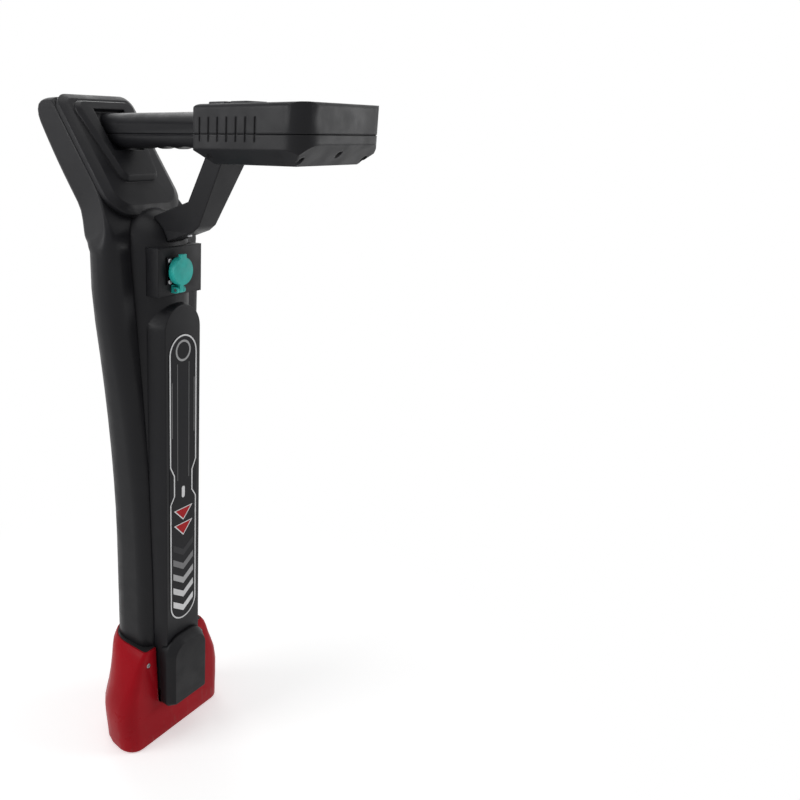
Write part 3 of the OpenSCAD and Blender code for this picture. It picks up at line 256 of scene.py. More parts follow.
def boot_rubber(colour):
    """Tough red moulding with scuffs that gather near the sole."""
    f = Finish("boot_red", colour, 0.32, Specular_IOR_Level=0.06)
    if f.fresh:
        upright = (1, 1, 0.25)
        scuffs = f.noise(160, detail=6, stretch=upright)
        scuffs = f.spread(scuffs, 0, 1, from_low=0.56, from_high=0.72)
        near_sole = f.height(0.03, 0.0)
        drift = f.spread(f.noise(12, detail=3), 0, 0.6)
        scuffed = (0.22, 0.07, 0.06)
        f.tint([(drift, shade(colour, 0.72)), (f.times(scuffs, near_sole), scuffed)])
        f.rough(f.noise(45, detail=4), 0.27, 0.4)
        waves = f.noise(40, detail=2)
        f.bump([(f.noise(1500, detail=2), 0.08, 0.0003), (waves, 0.06, 0.001)], edges=0.002)
    return f.material


def soft_rubber(name, colour, roughness=0.55):
    """Soft moulded rubber with a bloom of pale specks."""
    f = Finish(name, colour, roughness, Specular_IOR_Level=0.3)
    if f.fresh:
        drift = f.spread(f.noise(120, detail=3), 0, 0.7)
        specks = f.spread(f.noise(420, detail=4), 0, 0.35, from_low=0.6, from_high=0.8)
        f.tint([(drift, shade(colour, 0.8)), (specks, shade(colour, 1.5))])
        f.rough(f.noise(150, detail=3), roughness - 0.08, roughness + 0.08)
        f.bump([(f.noise(2200, detail=2), 0.08, 0.0002)], edges=0.0006)
    return f.material


def metal(name, colour, roughness, stretch=(1, 1, 12)):
    """Metal with fine marks that run across the stretched axis."""
    f = Finish(name, colour, roughness, Metallic=1.0)
    if f.fresh:
        f.tint([(f.spread(f.noise(300, 4, stretch), 0, 0.8), shade(colour, 0.75))])
        f.rough(f.noise(500, 4, stretch), roughness - 0.08, roughness + 0.12)
        f.bump([(f.noise(900, 3, stretch), 0.05, 0.0001)])
    return f.material


def film(name, colour, roughness=0.4):
    """Smooth film or ink."""
    f = Finish(name, colour, roughness, Specular_IOR_Level=0.12)
    if f.fresh:
        f.tint([(f.spread(f.noise(220, 4), 0, 0.5), shade(colour, 0.85))])
        f.rough(f.noise(300, 3), roughness - 0.05, roughness + 0.06)
        f.bump([(f.noise(1800, 2), 0.05, 0.0001)])
    return f.material


def clear_window(name):
    """Clear window with faint smears."""
    f = Finish(name, (0.78, 0.82, 0.82), 0.06, Transmission_Weight=0.95, IOR=1.46)
    if f.fresh:
        f.tint([(f.spread(f.noise(90, 3), 0, 0.4), (0.7, 0.74, 0.74))])
        f.rough(f.noise(140, 4), 0.03, 0.12)
    return f.material


def fading_ink(name, colour, film_colour):
    """Ink that fades into the film behind it, copy by copy, by the pieces' fade attribute."""
    f = Finish(name, colour, INK_ROUGHNESS, Specular_IOR_Level=0.12)
    if f.fresh:
        fade = f.nodes.new("ShaderNodeAttribute")
        fade.attribute_name = "fade"
        drift = f.spread(f.noise(260, detail=4), 0, 0.3)
        f.tint([(drift, shade(colour, 0.8)), (fade.outputs["Fac"], shade(film_colour, 1.2))])
        f.rough(f.noise(300, 3), 0.38, 0.48)
    return f.material


def circuit_board(name, colour):
    """Lacquered board with faint copper runs under the lacquer."""
    f = Finish(name, colour, 0.35)
    if f.fresh:
        runs = f.nodes.new("ShaderNodeTexBrick")
        runs.inputs["Scale"].default_value = 140
        runs.inputs["Mortar Size"].default_value = 0.03
        f.links.new(f.place, runs.inputs["Vector"])
        drift = f.spread(f.noise(80, detail=3), 0, 0.6)
        copper = f.spread(runs.outputs["Fac"], 0, 0.4, from_low=0, from_high=1)
        f.tint([(drift, shade(colour, 0.7)), (copper, shade(colour, 2.2))])
        f.rough(f.noise(200, 3), 0.28, 0.42)
    return f.material


def windings(name, colour):
    """Fine turns of enamelled wire round a rod."""
    f = Finish(name, colour, 0.35, Metallic=0.8)
    if f.fresh:
        f.tint([(f.spread(f.noise(900, 2), 0, 0.8), shade(colour, 0.6))])
        f.bump([(f.noise(1400, 1), 0.4, 0.0003)])
    return f.material


def finishes(colours):
    """Every finish by the record's material slot."""
    return {
        "charcoal_plastic": moulded_plastic("charcoal_plastic", colours.plastic),
        "black_plastic": moulded_plastic("black_plastic", shade(colours.plastic, 0.75), 0.46, 0.16),
        "red_rubber": boot_rubber(colours.boot),
        "teal_rubber": soft_rubber("teal_rubber", colours.cap, 0.48),
        "screw_steel": metal("screw_steel", (0.42, 0.42, 0.43), 0.34),
        "dark_steel": metal("dark_steel", (0.035, 0.035, 0.038), 0.42),
        "label_film": film("label_film", LABEL_FILM),
        "cell_wrap": film("cell_wrap", (0.03, 0.16, 0.28), 0.3),
        "seal_rubber": soft_rubber("seal_rubber", (0.010, 0.010, 0.011)),
        "window_glass": clear_window("window_glass"),
        "display_cell": film("display_cell", DISPLAY_GREY, 0.3),
        "board_green": circuit_board("board_green", (0.012, 0.08, 0.035)),
        "key_rubber": soft_rubber("key_rubber", (0.035, 0.035, 0.039)),
        "socket_metal": metal("socket_metal", (0.022, 0.022, 0.025), 0.4, (12, 1, 1)),
        "spine_board": circuit_board("spine_board", (0.22, 0.20, 0.11)),
        "ferrite": moulded_plastic("ferrite", (0.03, 0.03, 0.032), 0.6, 0.3),
        "copper_wire": windings("copper_wire", (0.42, 0.15, 0.06)),
    }


# Meshes

# Distances, in metres, at which points are merged and slivers dropped
WELD = 2e-6
SLIVER = 1e-6
BEVEL_SEGMENTS = 3
# Share of the room beside an edge that its rounding takes, and the room that is enough, in widths
ROUND_SHARE = 0.42
ENOUGH_ROOM = 3
# An edge is across from another where the way to it leans along that one by less than this share
ACROSS_SHARE = 0.5


def new_piece(name, mesh, material, body, slot, *nodes):
    """Puts a finished mesh in the scene on its body."""
    piece = bpy.data.objects.new(name, mesh)
    bpy.context.scene.collection.objects.link(piece)
    if material:
        mesh.materials.clear()
        mesh.materials.append(material)
    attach(piece, body)
    if nodes:
        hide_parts(*nodes)
    return piece


def slot_of(node):
    parts = frame["record"]["subparts"]
    return next(part["material_slot"] for part in parts if part["node"] == node)


def body_of(node):
    bodies = frame["record"]["behaviour"]["bodies"]
    return next(body for body, nodes in bodies.items() if node in nodes)


def weigh_edges(bm, width, angle):
    """Marks the sharp edges for rounding, and less where the faces beside them are narrow."""
    layer = bm.edges.layers.float.new("bevel_weight_edge")
    for edge in bm.edges:
        if len(edge.link_faces) != 2 or edge.calc_face_angle(0) < angle:
            continue
        start, end = (vert.co for vert in edge.verts)
        middle, along = (start + end) / 2, (end - start).normalized()
        room = ENOUGH_ROOM * width
        for other in (other for face in edge.link_faces for other in face.edges):
            if set(other.verts) & set(edge.verts):
                continue
            low, high = (vert.co for vert in other.verts)
            nearest, share = intersect_point_line(middle, low, high)
            nearest = low if share < 0 else high if share > 1 else nearest
            across = nearest - middle
            if abs(across.dot(along)) < ACROSS_SHARE * across.length:
                room = min(room, across.length)
        edge[layer] = min(1, ROUND_SHARE * room / width)


def merged_copy(node, flat, width, angle):
    """A copy of a node's mesh with its loose triangles merged and its flat faces joined."""
    mesh = frame["nodes"][node].data.copy()
    mesh.name = node + "_dressed"
    bm = bmesh.new()
    bm.from_mesh(mesh)
    bmesh.ops.remove_doubles(bm, verts=bm.verts, dist=WELD)
    bmesh.ops.dissolve_degenerate(bm, edges=bm.edges, dist=SLIVER)
    flat_angle = math.radians(flat)
    bmesh.ops.dissolve_limit(bm, angle_limit=flat_angle, verts=bm.verts, edges=bm.edges)
    if width:
        weigh_edges(bm, width, math.radians(angle))
    for face in bm.faces:
        face.smooth = True
    bm.to_mesh(mesh)
    bm.free()
    if mesh.has_custom_normals:
        mesh.normals_split_custom_set([(0, 0, 0)] * len(mesh.loops))
    return mesh


def dress(node, materials, width=0, angle=32, flat=0.6):
    """Shows a node as a merged copy in its slot's finish.

    Its edges sharper than an angle in degrees are rounded by a width, or without one only kept
    sharp in the shading.
    """
    slot = slot_of(node)
    mesh = merged_copy(node, flat, width, angle)
    piece = new_piece(node + "_dressed", mesh, materials[slot], body_of(node), slot, node)
    if not width:
        mesh.set_sharp_from_angle(angle=math.radians(angle))
        even = piece.modifiers.new("even_shading", "WEIGHTED_NORMAL")
        even.keep_sharp = True
    else:
        bevel = piece.modifiers.new("round_edges", "BEVEL")
        bevel.width = width
        bevel.segments = BEVEL_SEGMENTS
        bevel.limit_method = "WEIGHT"
        bevel.use_clamp_overlap = True
        bevel.harden_normals = True


def paint(node, materials):
    """Gives a node that keeps its own mesh its slot's finish."""
    target = frame["nodes"][node]
    material = materials[slot_of(node)]
    if not target.material_slots:
        target.data.materials.append(material)
    for entry in target.material_slots:
        entry.link = "OBJECT"
        entry.material = material


def plate_mesh(name, outline, holes, low, high, up="X"):
    """A thin plate between two heights along X or Z, from an outline and holes across it."""
    bm = bmesh.new()
    edges = []
    for loop in [outline] + list(holes):
        verts = [bm.verts.new((low, a, b) if up == "X" else (a, b, low)) for a, b in loop]
        edges += [bm.edges.new((a, b)) for a, b in zip(verts, verts[1:] + verts[:1])]
    rise = Vector((high - low, 0, 0) if up == "X" else (0, 0, high - low))
    bmesh.ops.triangle_fill(
        bm, use_beauty=True, use_dissolve=False, edges=edges, normal=rise.normalized())
    grown = bmesh.ops.extrude_face_region(bm, geom=bm.faces[:])["geom"]
    top = [item for item in grown if isinstance(item, bmesh.types.BMVert)]
    bmesh.ops.translate(bm, verts=top, vec=rise)
    bmesh.ops.recalc_face_normals(bm, faces=bm.faces)
    mesh = bpy.data.meshes.new(name)
    bm.to_mesh(mesh)
    bm.free()
    return mesh


def arc_points(cy, cz, r, start, end, count):
    """Points along an arc, between two angles in degrees."""
    angles = [math.radians(start + (end - start) * i / count) for i in range(count + 1)]
    return [(cy + r * math.cos(angle), cz + r * math.sin(angle)) for angle in angles]


def circle_points(cy, cz, r, count):
    return arc_points(cy, cz, r, 0, 360, count)[:-1]


def box_points(u0, u1, v0, v1):
    return [(u0, v0), (u1, v0), (u1, v1), (u0, v1)]


def settings():
    return bpy.context.scene.locator


def geometry_tree(name, inputs):
    """A new Geometry Nodes tree with named inputs of (name, socket type, default)."""
    tree = bpy.data.node_groups.new(name, "GeometryNodeTree")
    tree.interface.new_socket("Geometry", in_out="INPUT", socket_type="NodeSocketGeometry")
    identifiers = {}
    for label, kind, default in inputs:
        socket = tree.interface.new_socket(label, in_out="INPUT", socket_type=kind)
        if default is not None:
            socket.default_value = default
        identifiers[label] = socket.identifier
    tree.interface.new_socket("Geometry", in_out="OUTPUT", socket_type="NodeSocketGeometry")
    return tree, tree.nodes.new("NodeGroupInput"), tree.nodes.new("NodeGroupOutput"), identifiers


def baked(tree, identifiers, values, base):
    """Runs a tree on a base mesh and returns the result as a plain mesh."""
    carrier = bpy.data.objects.new("carrier", base)
    bpy.context.scene.collection.objects.link(carrier)
    modifier = carrier.modifiers.new("tree", "NODES")
    modifier.node_group = tree
    for label, value in values.items():
        modifier[identifiers[label]] = value
    graph = bpy.context.evaluated_depsgraph_get()
    mesh = bpy.data.meshes.new_from_object(carrier.evaluated_get(graph))
    carrier.modifiers.remove(modifier)
    bpy.data.objects.remove(carrier)
    return mesh


# Label

# Places and sizes on the label are in metres, across it from its middle and up from the sole
LABEL_FACE_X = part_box("label")[1][0]
BORDER_INSET = 0.0006
BORDER_ARC = 28
WAIST_HALF_W = 0.0148
# Heights at which the border leaves its full width, meets its waist, leaves it and is full again
WAIST_Z = (0.2895, 0.298, 0.321, 0.332)
RING_Z = 0.4523
RING_OUTER_R = 0.0109
RING_INNER_R = 0.0087
RING_ARC = 48
# Upright lines on both sides: name, distance from the middle, half width, lower and upper end
LABEL_LINES = (("line", 0.0084, 0.00045, 0.3145, 0.4395), ("bar", 0.0163, 0.0006, 0.363, 0.422))
PILL_R = 0.0023
PILL_LOW_Z = 0.2953
PILL_HIGH_Z = 0.3038
PILL_ARC = 12
POINTER_HALF_W = 0.0143
# Heights of each pointer's flat edge and tip
POINTERS = ((0.2812, 0.2668), (0.2638, 0.2490))
# How far a pointer's red lies inside its outline: at the sides, the flat edge and the tip
RED_IN_SIDE = 0.0026
RED_IN_EDGE = 0.0009
RED_IN_TIP = 0.0016
CHEVRON_TIP_Z = 0.1562
CHEVRON_HALF_W = 0.0156
CHEVRON_DROP = 0.0100
CHEVRON_THICK = 0.0074


def label_border(inset):
    """The label's outline with its waist, as (y, z) points, drawn in by an inset."""
    low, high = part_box("label")
    r = high[1]
    w = r - inset
    waist = WAIST_HALF_W - inset
    top, bottom = high[2] - r, low[2] + r
    side = [(w, bottom), *zip((w, waist, waist, w), WAIST_Z), (w, top)]
    points = side + arc_points(0, top, w, 0, 180, BORDER_ARC)[1:-1]
    points += [(-y, z) for y, z in reversed(side)]
    return points + arc_points(0, bottom, w, 180, 360, BORDER_ARC)[1:-1]


class LOCATOR_OT_label(bpy.types.Operator):
    """Prints the label: border, ring, lines, pill and two pointers"""

    bl_idname = "locator.label"
    bl_label = "Label print"

    def execute(self, context):
        sizes, colours = settings().sizes, settings().colours
        materials = finishes(colours)
        white = film("white_ink", colours.print_white, INK_ROUGHNESS)
        red = film("red_ink", colours.print_red, INK_ROUGHNESS)
        dress("label", materials)
        x0 = LABEL_FACE_X
        x1 = x0 + sizes.print_lift

        def ink(name, outline, holes=(), material=white):
            mesh = plate_mesh(name, outline, holes, x0, x1)
            new_piece(name, mesh, material, WAND, "label_film")

        border_hole = label_border(BORDER_INSET + sizes.line_w)
        ink("label_border", label_border(BORDER_INSET), [border_hole])
        grey = film("grey_ink", shade(colours.print_white, 0.2), INK_ROUGHNESS)
        ring_ink = film("ring_ink", shade(colours.print_white, 0.5), INK_ROUGHNESS)
        ring_hole = circle_points(0, RING_Z, RING_INNER_R, RING_ARC)
        ink("label_ring", circle_points(0, RING_Z, RING_OUTER_R, RING_ARC), [ring_hole], ring_ink)
        for side, word in ((-1, "right"), (1, "left")):
            for name, y, half, low, high in LABEL_LINES:
                line = box_points(side * y - half, side * y + half, low, high)
                ink("label_%s_%s" % (name, word), line, material=grey)
        pill = arc_points(0, PILL_HIGH_Z, PILL_R, 0, 180, PILL_ARC)
        ink("label_pill", pill + arc_points(0, PILL_LOW_Z, PILL_R, 180, 360, PILL_ARC))
        for index, (top, tip) in enumerate(POINTERS):
            outer = [(-POINTER_HALF_W, top), (0, tip), (POINTER_HALF_W, top)]
            red_half_w, red_top = POINTER_HALF_W - RED_IN_SIDE, top - RED_IN_EDGE
            inner = [(-red_half_w, red_top), (0, tip + RED_IN_TIP), (red_half_w, red_top)]
            ink("label_pointer_edge_%d" % index, outer, [inner])
            ink("label_pointer_%d" % index, inner, material=red)
        return {"FINISHED"}


# The copy of a row at which the fade starts, the share of the row where it ends, and its most
FADE_START = 0.6
FADE_END_SHARE = 0.75
FADE_MOST = 0.97


def row_tree(name):
    """A row of copies of the base mesh, with a fade attribute that grows along the row."""
    tree, start, end, names = geometry_tree(name, [
        ("Count", "NodeSocketInt", 5), ("Step", "NodeSocketVector", None),
        ("Material", "NodeSocketMaterial", None)])
    new, link = tree.nodes.new, tree.links.new
    row = new("GeometryNodeMeshLine")
    link(start.outputs["Count"], row.inputs["Count"])
    link(start.outputs["Step"], row.inputs["Offset"])
    copies = new("GeometryNodeInstanceOnPoints")
    link(row.outputs["Mesh"], copies.inputs["Points"])
    link(start.outputs["Geometry"], copies.inputs["Instance"])
    store = new("GeometryNodeStoreNamedAttribute")
    store.domain = "INSTANCE"
    store.inputs["Name"].default_value = "fade"
    index = new("GeometryNodeInputIndex")
    last = new("ShaderNodeMath")
    last.operation = "MULTIPLY"
    last.inputs[1].default_value = FADE_END_SHARE
    link(start.outputs["Count"], last.inputs[0])
    curve = new("ShaderNodeMapRange")
    curve.inputs["From Min"].default_value = FADE_START
    curve.inputs["To Max"].default_value = FADE_MOST
    link(last.outputs["Value"], curve.inputs["From Max"])
    link(index.outputs["Index"], curve.inputs["Value"])
    link(copies.outputs["Instances"], store.inputs["Geometry"])
    link(curve.outputs["Result"], store.inputs["Value"])
    real = new("GeometryNodeRealizeInstances")
    link(store.outputs["Geometry"], real.inputs["Geometry"])
    ink = new("GeometryNodeSetMaterial")
    link(real.outputs["Geometry"], ink.inputs["Geometry"])
    link(start.outputs["Material"], ink.inputs["Material"])
    link(ink.outputs["Geometry"], end.inputs["Geometry"])
    return tree, names


class LOCATOR_OT_chevrons(bpy.types.Operator):
    """Lays out the fading row of chevrons on the label"""

    bl_idname = "locator.chevrons"
    bl_label = "Chevrons"

    def execute(self, context):
        sizes, colours = settings().sizes, settings().colours
        half, tip = CHEVRON_HALF_W, CHEVRON_TIP_Z
        end = tip + CHEVRON_DROP
        outline = [(-half, end), (0, tip), (half, end), (half, end + CHEVRON_THICK),
                   (0, tip + CHEVRON_THICK), (-half, end + CHEVRON_THICK)]
        base = plate_mesh("chevron", outline, (), LABEL_FACE_X, LABEL_FACE_X + sizes.print_lift)
        tree, names = row_tree("chevron_row")
        values = {"Count": sizes.chevron_count, "Step": (0, 0, sizes.chevron_pitch),
                  "Material": fading_ink("chevron_ink", colours.print_white, LABEL_FILM)}
        mesh = baked(tree, names, values, base)
        new_piece("label_chevrons", mesh, None, WAND, "label_film")
        return {"FINISHED"}


# Mouldings

class LOCATOR_OT_wand(bpy.types.Operator):
    """Dresses the wand's two shells, its boot and the battery cover"""

    bl_idname = "locator.wand"
    bl_label = "Wand"

    def execute(self, context):
        sizes = settings().sizes
        materials = finishes(settings().colours)
        dress("rear_shell", materials, angle=38, flat=0.05)
        dress("boot_seal", materials)
        dress("front_shell", materials, width=sizes.edge * 1.3, angle=24)
        dress("boot", materials, width=sizes.edge, angle=38, flat=0.05)
        dress("battery_cover", materials, width=sizes.edge * 2, angle=25)
        return {"FINISHED"}


class LOCATOR_OT_box(bpy.types.Operator):
    """Dresses the handle, the display box and the strut"""

    bl_idname = "locator.box"
    bl_label = "Handle and box"

    def execute(self, context):
        sizes = settings().sizes
        materials = finishes(settings().colours)
        dress("upper_case", materials, angle=30)
        dress("lower_case", materials, angle=26)
        dress("display_window", materials, width=sizes.fine_edge)
        for node in KEYS:
            dress(node, materials, width=sizes.fine_edge * 1.6)
        return {"FINISHED"}


# Sizes of the key signs, in metres, and angles in degrees
SIGN_HALF_LINE = 0.00045
SIGN_ARC = 24
POWER_RING = (0.0033, 0.0042, 125, 415)
POWER_LINE_V = (0.0012, 0.0048)
MODE_HALF_LEN = 0.0036
MODE_LINES_V = (-0.0025, 0, 0.0025)
WAVE_LEN = 0.01
WAVE_RISE = 0.0022
WAVE_HALF_LINE = 0.0005
WAVE_HALVES = 3
WAVE_STEPS = 32
GAIN_HALF_W = 0.0037
GAIN_BASE_V = 0.0022
GAIN_TIP_V = 0.0034
SOUND_BACK_U = -0.0046
SOUND_NECK_U = -0.0028
SOUND_MOUTH_U = -0.0006
SOUND_NECK_V = 0.0014
SOUND_MOUTH_V = 0.0034
SOUND_WAVES = ((0.0022, 0.0029, -42, 42), (0.0041, 0.0048, -42, 42))


def band_points(inner_r, outer_r, start, end):
    """A band along an arc."""
    outer = arc_points(0, 0, outer_r, start, end, SIGN_ARC)
    return outer + arc_points(0, 0, inner_r, end, start, SIGN_ARC)


def key_signs():
    """Plain signs for the keys, with u to the user's right and v away from the user."""
    wave = [(-WAVE_LEN / 2 + WAVE_LEN * i / WAVE_STEPS,
             WAVE_RISE * math.sin(WAVE_HALVES * math.pi * i / WAVE_STEPS))
            for i in range(WAVE_STEPS + 1)]
    line, base, tip = SIGN_HALF_LINE, GAIN_BASE_V, GAIN_TIP_V
    speaker = [(SOUND_BACK_U, -SOUND_NECK_V), (SOUND_NECK_U, -SOUND_NECK_V),
               (SOUND_MOUTH_U, -SOUND_MOUTH_V), (SOUND_MOUTH_U, SOUND_MOUTH_V),
               (SOUND_NECK_U, SOUND_NECK_V), (SOUND_BACK_U, SOUND_NECK_V)]
    return {
        "key_power": [band_points(*POWER_RING), box_points(-line, line, *POWER_LINE_V)],
        "key_mode": [box_points(-MODE_HALF_LEN, MODE_HALF_LEN, v - line, v + line)
                     for v in MODE_LINES_V],
        "key_frequency": [[(u, v - WAVE_HALF_LINE) for u, v in wave]
                          + [(u, v + WAVE_HALF_LINE) for u, v in reversed(wave)]],
        "key_gain_up": [[(-GAIN_HALF_W, -base), (GAIN_HALF_W, -base), (0, tip)]],
        "key_gain_down": [[(-GAIN_HALF_W, base), (0, -tip), (GAIN_HALF_W, base)]],
        "key_sound": [speaker] + [band_points(*wave_band) for wave_band in SOUND_WAVES],
    }


class LOCATOR_OT_keys(bpy.types.Operator):
    """Prints a plain sign on each key"""

    bl_idname = "locator.keys"
    bl_label = "Key signs"

    def execute(self, context):
        sizes = settings().sizes
        white = film("key_ink", shade(settings().colours.print_white, 0.85), 0.45)
        for node, outlines in key_signs().items():
            low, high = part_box(node)
            x, y = (low[0] + high[0]) / 2, (low[1] + high[1]) / 2
            for index, outline in enumerate(outlines):
                name = "%s_sign_%d" % (node, index)
                place = [(x + v, y - u) for u, v in outline]
                mesh = plate_mesh(name, place, (), high[2], high[2] + sizes.print_lift, "Z")
                new_piece(name, mesh, white, body_of(node), slot_of(node))
        return {"FINISHED"}


# Marks on the display, in metres: bars along its far edge, a frame, and a row of signs
BAR_EDGE = 0.012
BAR_PITCH = 0.0034
BAR_HALF_LEN = 0.004
BAR_HALF_W = 0.0011
FRAME_OUTER = 0.0035
FRAME_INNER = 0.0042
SIGN_EDGE = 0.013
SIGN_TIP_Y = 0.026
SIGN_BASE_Y = 0.017
SIGN_HALF_W = 0.005
TARGET_OUTER_R = 0.0062
TARGET_INNER_R = 0.005
TARGET_ARC = 40
DOT_R = 0.0018
DOT_ARC = 24


class LOCATOR_OT_display(bpy.types.Operator):
    """Lays a signal bar, a frame, two pointers and a ring on the display"""

    bl_idname = "locator.display"
    bl_label = "Display"

    def execute(self, context):
        sizes = settings().sizes
        low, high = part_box("display_panel")
        z0, z1 = high[2], high[2] + sizes.print_lift
        ink = film("display_ink", DISPLAY_INK, 0.4)
        x = high[0] - BAR_EDGE
        first = (sizes.bar_count - 1) * BAR_PITCH / 2
        bar = box_points(x - BAR_HALF_LEN, x + BAR_HALF_LEN, first - BAR_HALF_W, first + BAR_HALF_W)
        tree, names = row_tree("display_row")
        values = {"Count": sizes.bar_count, "Step": (0, -BAR_PITCH, 0),
                  "Material": fading_ink("display_bar_ink", DISPLAY_INK, DISPLAY_GREY)}
        mesh = baked(tree, names, values, plate_mesh("display_bar", bar, (), z0, z1, "Z"))
        new_piece("display_bars", mesh, None, WAND, "display_cell")

        def frame_loop(inset):
            return box_points(low[0] + inset, high[0] - inset, low[1] + inset, high[1] - inset)

        shapes = {"frame": (frame_loop(FRAME_OUTER), [frame_loop(FRAME_INNER)])}
        x = low[0] + SIGN_EDGE
        for side, word in ((1, "left"), (-1, "right")):
            base = side * SIGN_BASE_Y
            pointer = [(x, side * SIGN_TIP_Y), (x + SIGN_HALF_W, base), (x - SIGN_HALF_W, base)]
            shapes["pointer_" + word] = (pointer, [])
        target_hole = circle_points(x, 0, TARGET_INNER_R, TARGET_ARC)
        shapes["ring"] = (circle_points(x, 0, TARGET_OUTER_R, TARGET_ARC), [target_hole])
        shapes["dot"] = (circle_points(x, 0, DOT_R, DOT_ARC), [])
        for word, (outline, holes) in shapes.items():
            name = "display_" + word
            mesh = plate_mesh(name, outline, holes, z0, z1, "Z")
            new_piece(name, mesh, ink, WAND, "display_cell")
        return {"FINISHED"}


class LOCATOR_OT_socket(bpy.types.Operator):
    """Dresses the accessory socket, its housing and its cap"""

    bl_idname = "locator.socket"
    bl_label = "Socket"

    def execute(self, context):
        sizes = settings().sizes
        materials = finishes(settings().colours)
        dress("socket_housing", materials, width=sizes.edge * 1.8)
        dress("socket", materials, width=sizes.fine_edge)
        dress("dust_cap", materials, width=sizes.fine_edge * 1.5)
        dress("cap_strap", materials, width=sizes.fine_edge)
        for node in ("socket_insert", "cap_pin"):
            paint(node, materials)
        return {"FINISHED"}


# Screws

SCREW_SIDES = 32
# A point this far out, as a share of the head's radius, is on the head's rim
RIM_SHARE = 0.95
BELOW_RIM = 1e-5
# The head's edge rounding, as shares of the head's height and radius, and its middle ring
EDGE_OF_HEIGHT = 0.5
EDGE_OF_RADIUS = 0.3
EDGE_RING = 0.3
# The cross recess: an arm's width in its length, the floor's size in the mouth's, and its depth
RECESS_ARM = 0.22
RECESS_FLOOR = 0.8
RECESS_DEPTH = 0.6
SCREW_FACING = {
    "head_screws": (-math.cos(HEAD_LEAN), 0, -math.sin(HEAD_LEAN)),
    "boot_screws": (1, 0, 0),
    "case_screws": (0, 0, -1),
    "strut_screw": (0, 0, -1),
    "socket_screws": (1, 0, 0),
}


def islands(node):
    """The points of each separate solid of a node."""
    bm = bmesh.new()
    bm.from_mesh(frame["nodes"][node].data)
    bmesh.ops.remove_doubles(bm, verts=bm.verts, dist=WELD)
    left, groups = set(bm.verts), []
    while left:
        todo, group = [left.pop()], []
        while todo:
            vert = todo.pop()
            group.append(vert.co.copy())
            for edge in vert.link_edges:
                other = edge.other_vert(vert)
                if other in left:
                    left.remove(other)
                    todo.append(other)
        groups.append(group)
    bm.free()
    return sorted(groups, key=lambda group: tuple(round(c, 4) for c in group[0]))


def screw_facts(points, out):
    """The middle of a screw head's top, its radius, its height, the shaft's radius, the length."""
    middle = sum(points, Vector()) / len(points)
    along = [(point - middle).dot(out) for point in points]
    away = [((point - middle) - out * a).length for point, a in zip(points, along)]
    head_r = max(away)
    rim = [a for a, r in zip(along, away) if r > RIM_SHARE * head_r]
    shaft_r = max(r for a, r in zip(along, away) if a < min(rim) - BELOW_RIM)
    top, length = middle + out * max(along), max(along) - min(along)
    return top, head_r, max(rim) - min(rim), shaft_r, length


def screw_mesh(name, head_r, head_h, shaft_r, length, recess):
    """A screw along Z with its head's top at the origin: pan head, cross recess and shaft."""
    bm = bmesh.new()
    edge = min(EDGE_OF_HEIGHT * head_h, EDGE_OF_RADIUS * head_r)

    def ring(r, z):
        angles = [math.tau * i / SCREW_SIDES for i in range(SCREW_SIDES)]
        return [bm.verts.new((r * math.cos(angle), r * math.sin(angle), z)) for angle in angles]

    def loop_edges(loop):
        pairs = zip(loop, loop[1:] + loop[:1])
        return [bm.edges.get(pair) or bm.edges.new(pair) for pair in pairs]

    def skin(upper, lower):
        for a, b, c, d in zip(upper, upper[1:] + upper[:1], lower[1:] + lower[:1], lower):
            bm.faces.new((a, d, c, b))

    rings = [ring(head_r - edge, 0), ring(head_r - EDGE_RING * edge, -EDGE_RING * edge),
             ring(head_r, -edge), ring(head_r, -head_h), ring(shaft_r, -head_h),
             ring(shaft_r, -length)]
    for upper, lower in zip(rings, rings[1:]):
        skin(upper, lower)
    bm.faces.new(list(reversed(rings[-1])))
    arm, half = recess * head_r, RECESS_ARM * recess * head_r
    corners = [(arm, half), (half, half), (half, arm)]
    quarters = (0, math.pi / 2, math.pi, 1.5 * math.pi)
    cross = [(math.cos(q) * x - math.sin(q) * y, math.sin(q) * x + math.cos(q) * y)
             for q in quarters for x, y in corners]
    mouth = [bm.verts.new((x, y, 0)) for x, y in cross]
    floor = [bm.verts.new((RECESS_FLOOR * x, RECESS_FLOOR * y, -RECESS_DEPTH * head_h))
             for x, y in cross]
    skin(floor, mouth)
    bm.faces.new(floor)
    face_edges = loop_edges(rings[0]) + loop_edges(mouth)
    bmesh.ops.triangle_fill(bm, use_beauty=True, edges=face_edges, normal=(0, 0, 1))
    bmesh.ops.recalc_face_normals(bm, faces=bm.faces)
    mesh = bpy.data.meshes.new(name)
    bm.to_mesh(mesh)
    bm.free()
    return mesh


